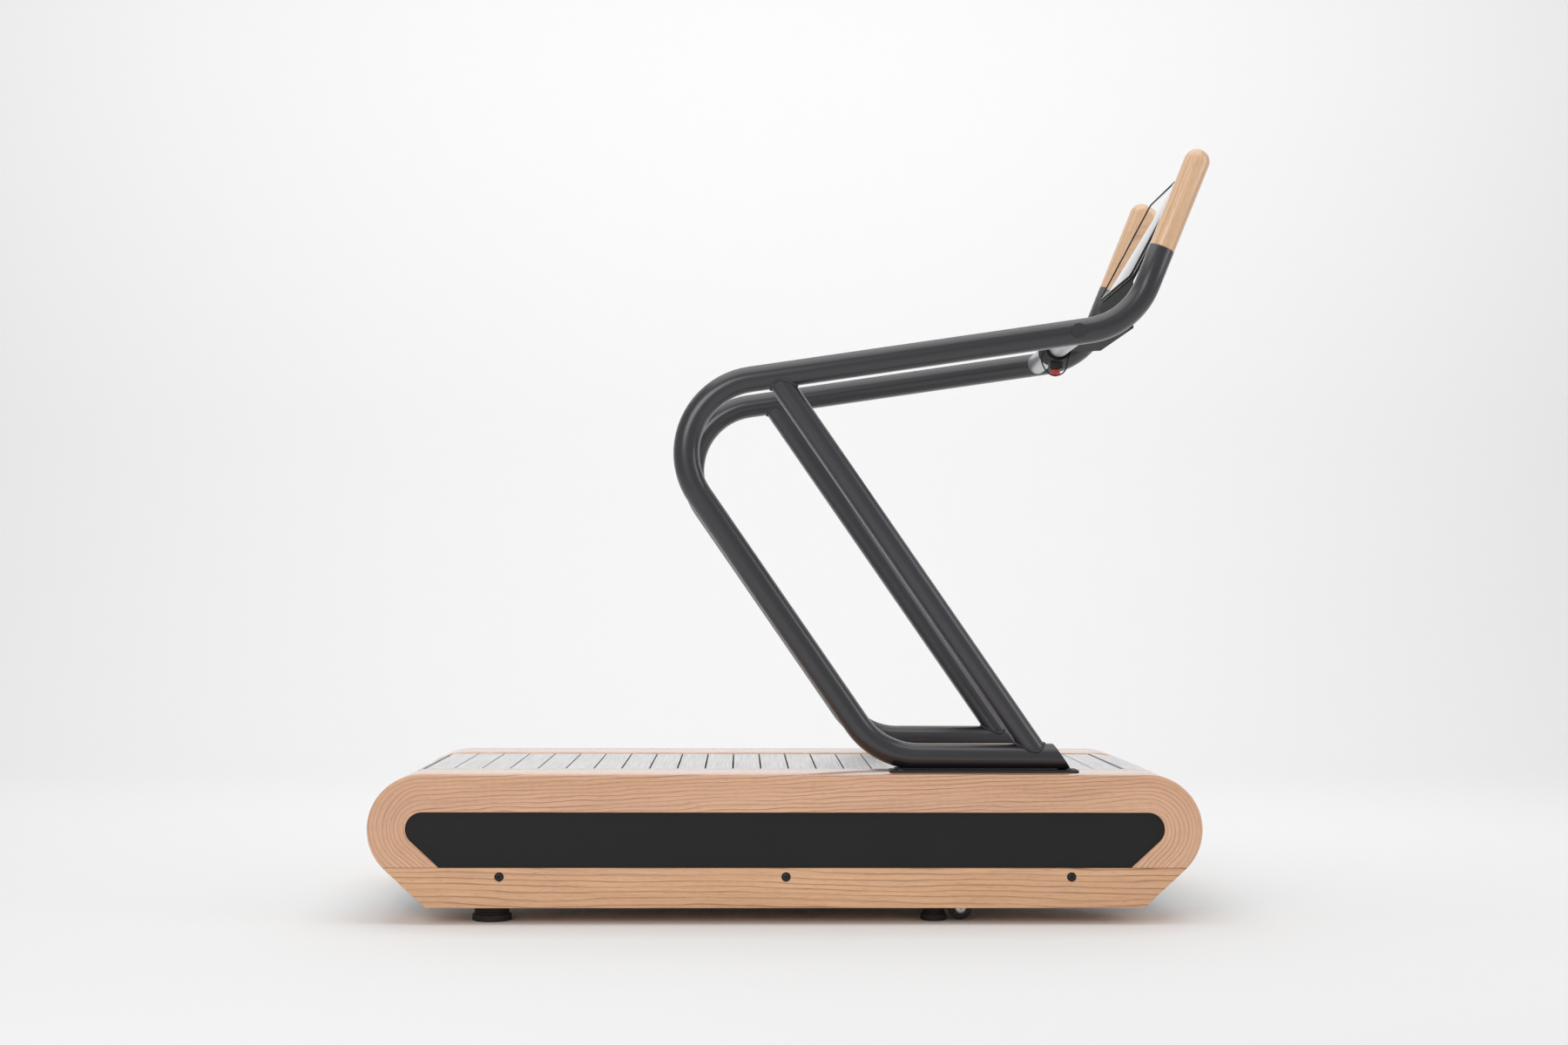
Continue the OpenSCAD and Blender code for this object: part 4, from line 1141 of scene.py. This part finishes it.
class TREADMILL_OT_stage(bpy.types.Operator):
    """Pale seamless floor, soft lights and the camera"""
    bl_idname = "treadmill.stage"
    bl_label = "Stage"

    def execute(self, context):
        finish, tree, bsdf = blank("pale_paper", Base_Color=linear("#f2f2f2"), Roughness=0.9)
        near_y, bend_y, bend_r, high, half_w, below = -7.0, 3.5, 1.5, 7.0, 9, 0.0002
        profile = [(near_y, 0.0), (bend_y, 0.0)]
        profile += [(bend_y + bend_r * math.sin(a), bend_r - bend_r * math.cos(a))
                    for a in quarter(12, first=1)] + [(bend_y + bend_r, high)]
        vertices = [(x, y, z - below) for x in (-half_w, half_w) for y, z in profile]
        count = len(profile)
        faces = [(i, count + i, count + i + 1, i + 1) for i in range(count - 1)]
        floor = new_piece("seamless_backdrop", vertices, faces, finish)
        world = bpy.data.worlds.new("soft_room")
        world.use_nodes = True
        glow = world.node_tree.nodes["Background"].inputs
        glow["Color"].default_value, glow["Strength"].default_value = (1, 1, 1, 1), 0.52
        context.scene.world = world
        context.scene.view_settings.view_transform = "Standard"
        # Each light: place, point it faces, watts, width and depth.
        area_light("top_light", (0, -0.4, 4.2), (0, 0, 0.4), 62, 4.5, 3.5)
        area_light("front_light", (-1.8, -4.6, 2.6), (0, 0, 0.6), 62, 2.6, 2.0)
        area_light("side_light", (4.0, -1.5, 2.2), (0, 0, 0.8), 22, 1.6, 2.4)
        area_light("backdrop_light", (0, 1.8, 4.4), (0, 5.0, 1.6), 90, 9.0, 1.2)
        self.make_camera(context)
        return {"FINISHED"}

    @staticmethod
    def make_camera(context):
        """A camera at the runner's right, a little above the deck and level with the leg."""
        camera = bpy.data.cameras.new("studio_camera")
        camera.sensor_width, camera.lens = 36.0, 51.2
        camera.clip_start, camera.clip_end = 0.05, 60
        holder = bpy.data.objects.new("studio_camera", camera)
        holder.location = (DECK_X - 0.0966, -5.045, 0.6707)
        yaw, pitch, roll = math.radians(-1.12), math.radians(2.0), math.radians(0.14)
        turn = Matrix.Rotation(yaw, 3, "Z") @ Matrix.Rotation(math.pi / 2 + pitch, 3, "X")
        holder.rotation_euler = (turn @ Matrix.Rotation(roll, 3, "Z")).to_euler()
        context.scene.collection.objects.link(holder)
        context.scene.camera = holder


class TREADMILL_PT_panel(bpy.types.Panel):
    """Lists the steps that build the treadmill"""
    bl_label = "Slat Treadmill"
    bl_idname = "TREADMILL_PT_panel"
    bl_space_type = "VIEW_3D"
    bl_region_type = "UI"
    bl_category = "Treadmill"

    def draw(self, context):
        for step in STEPS:
            self.layout.operator(step.bl_idname)
        for settings in SETTINGS:
            box = self.layout.box()
            group = getattr(context.scene, settings)
            for key in group.__annotations__:
                box.prop(group, key)


STEPS = (TREADMILL_OT_stage, TREADMILL_OT_sides, TREADMILL_OT_belt, TREADMILL_OT_hand_frame,
         TREADMILL_OT_display, TREADMILL_OT_floor_parts)
SETTINGS = {"treadmill_wood": WoodSettings, "treadmill_belt": BeltSettings,
            "treadmill_frame": HandFrameSettings, "treadmill_display": DisplaySettings,
            "treadmill_floor": FloorSettings}


def register():
    """Adds the settings, the steps and the panel."""
    for kind in (*SETTINGS.values(), *STEPS, TREADMILL_PT_panel):
        bpy.utils.register_class(kind)
    for key, kind in SETTINGS.items():
        setattr(bpy.types.Scene, key, PointerProperty(type=kind))


def unregister():
    """Removes what register added."""
    for key in SETTINGS:
        delattr(bpy.types.Scene, key)
    for kind in reversed((*SETTINGS.values(), *STEPS, TREADMILL_PT_panel)):
        bpy.utils.unregister_class(kind)


def main():
    """Builds the whole model."""
    register()
    dress_cad_nodes()
    bpy.ops.treadmill.stage()
    bpy.ops.treadmill.sides()
    bpy.ops.treadmill.belt()
    bpy.ops.treadmill.hand_frame()
    bpy.ops.treadmill.display()
    bpy.ops.treadmill.floor_parts()


if __name__ == "__main__":
    main()
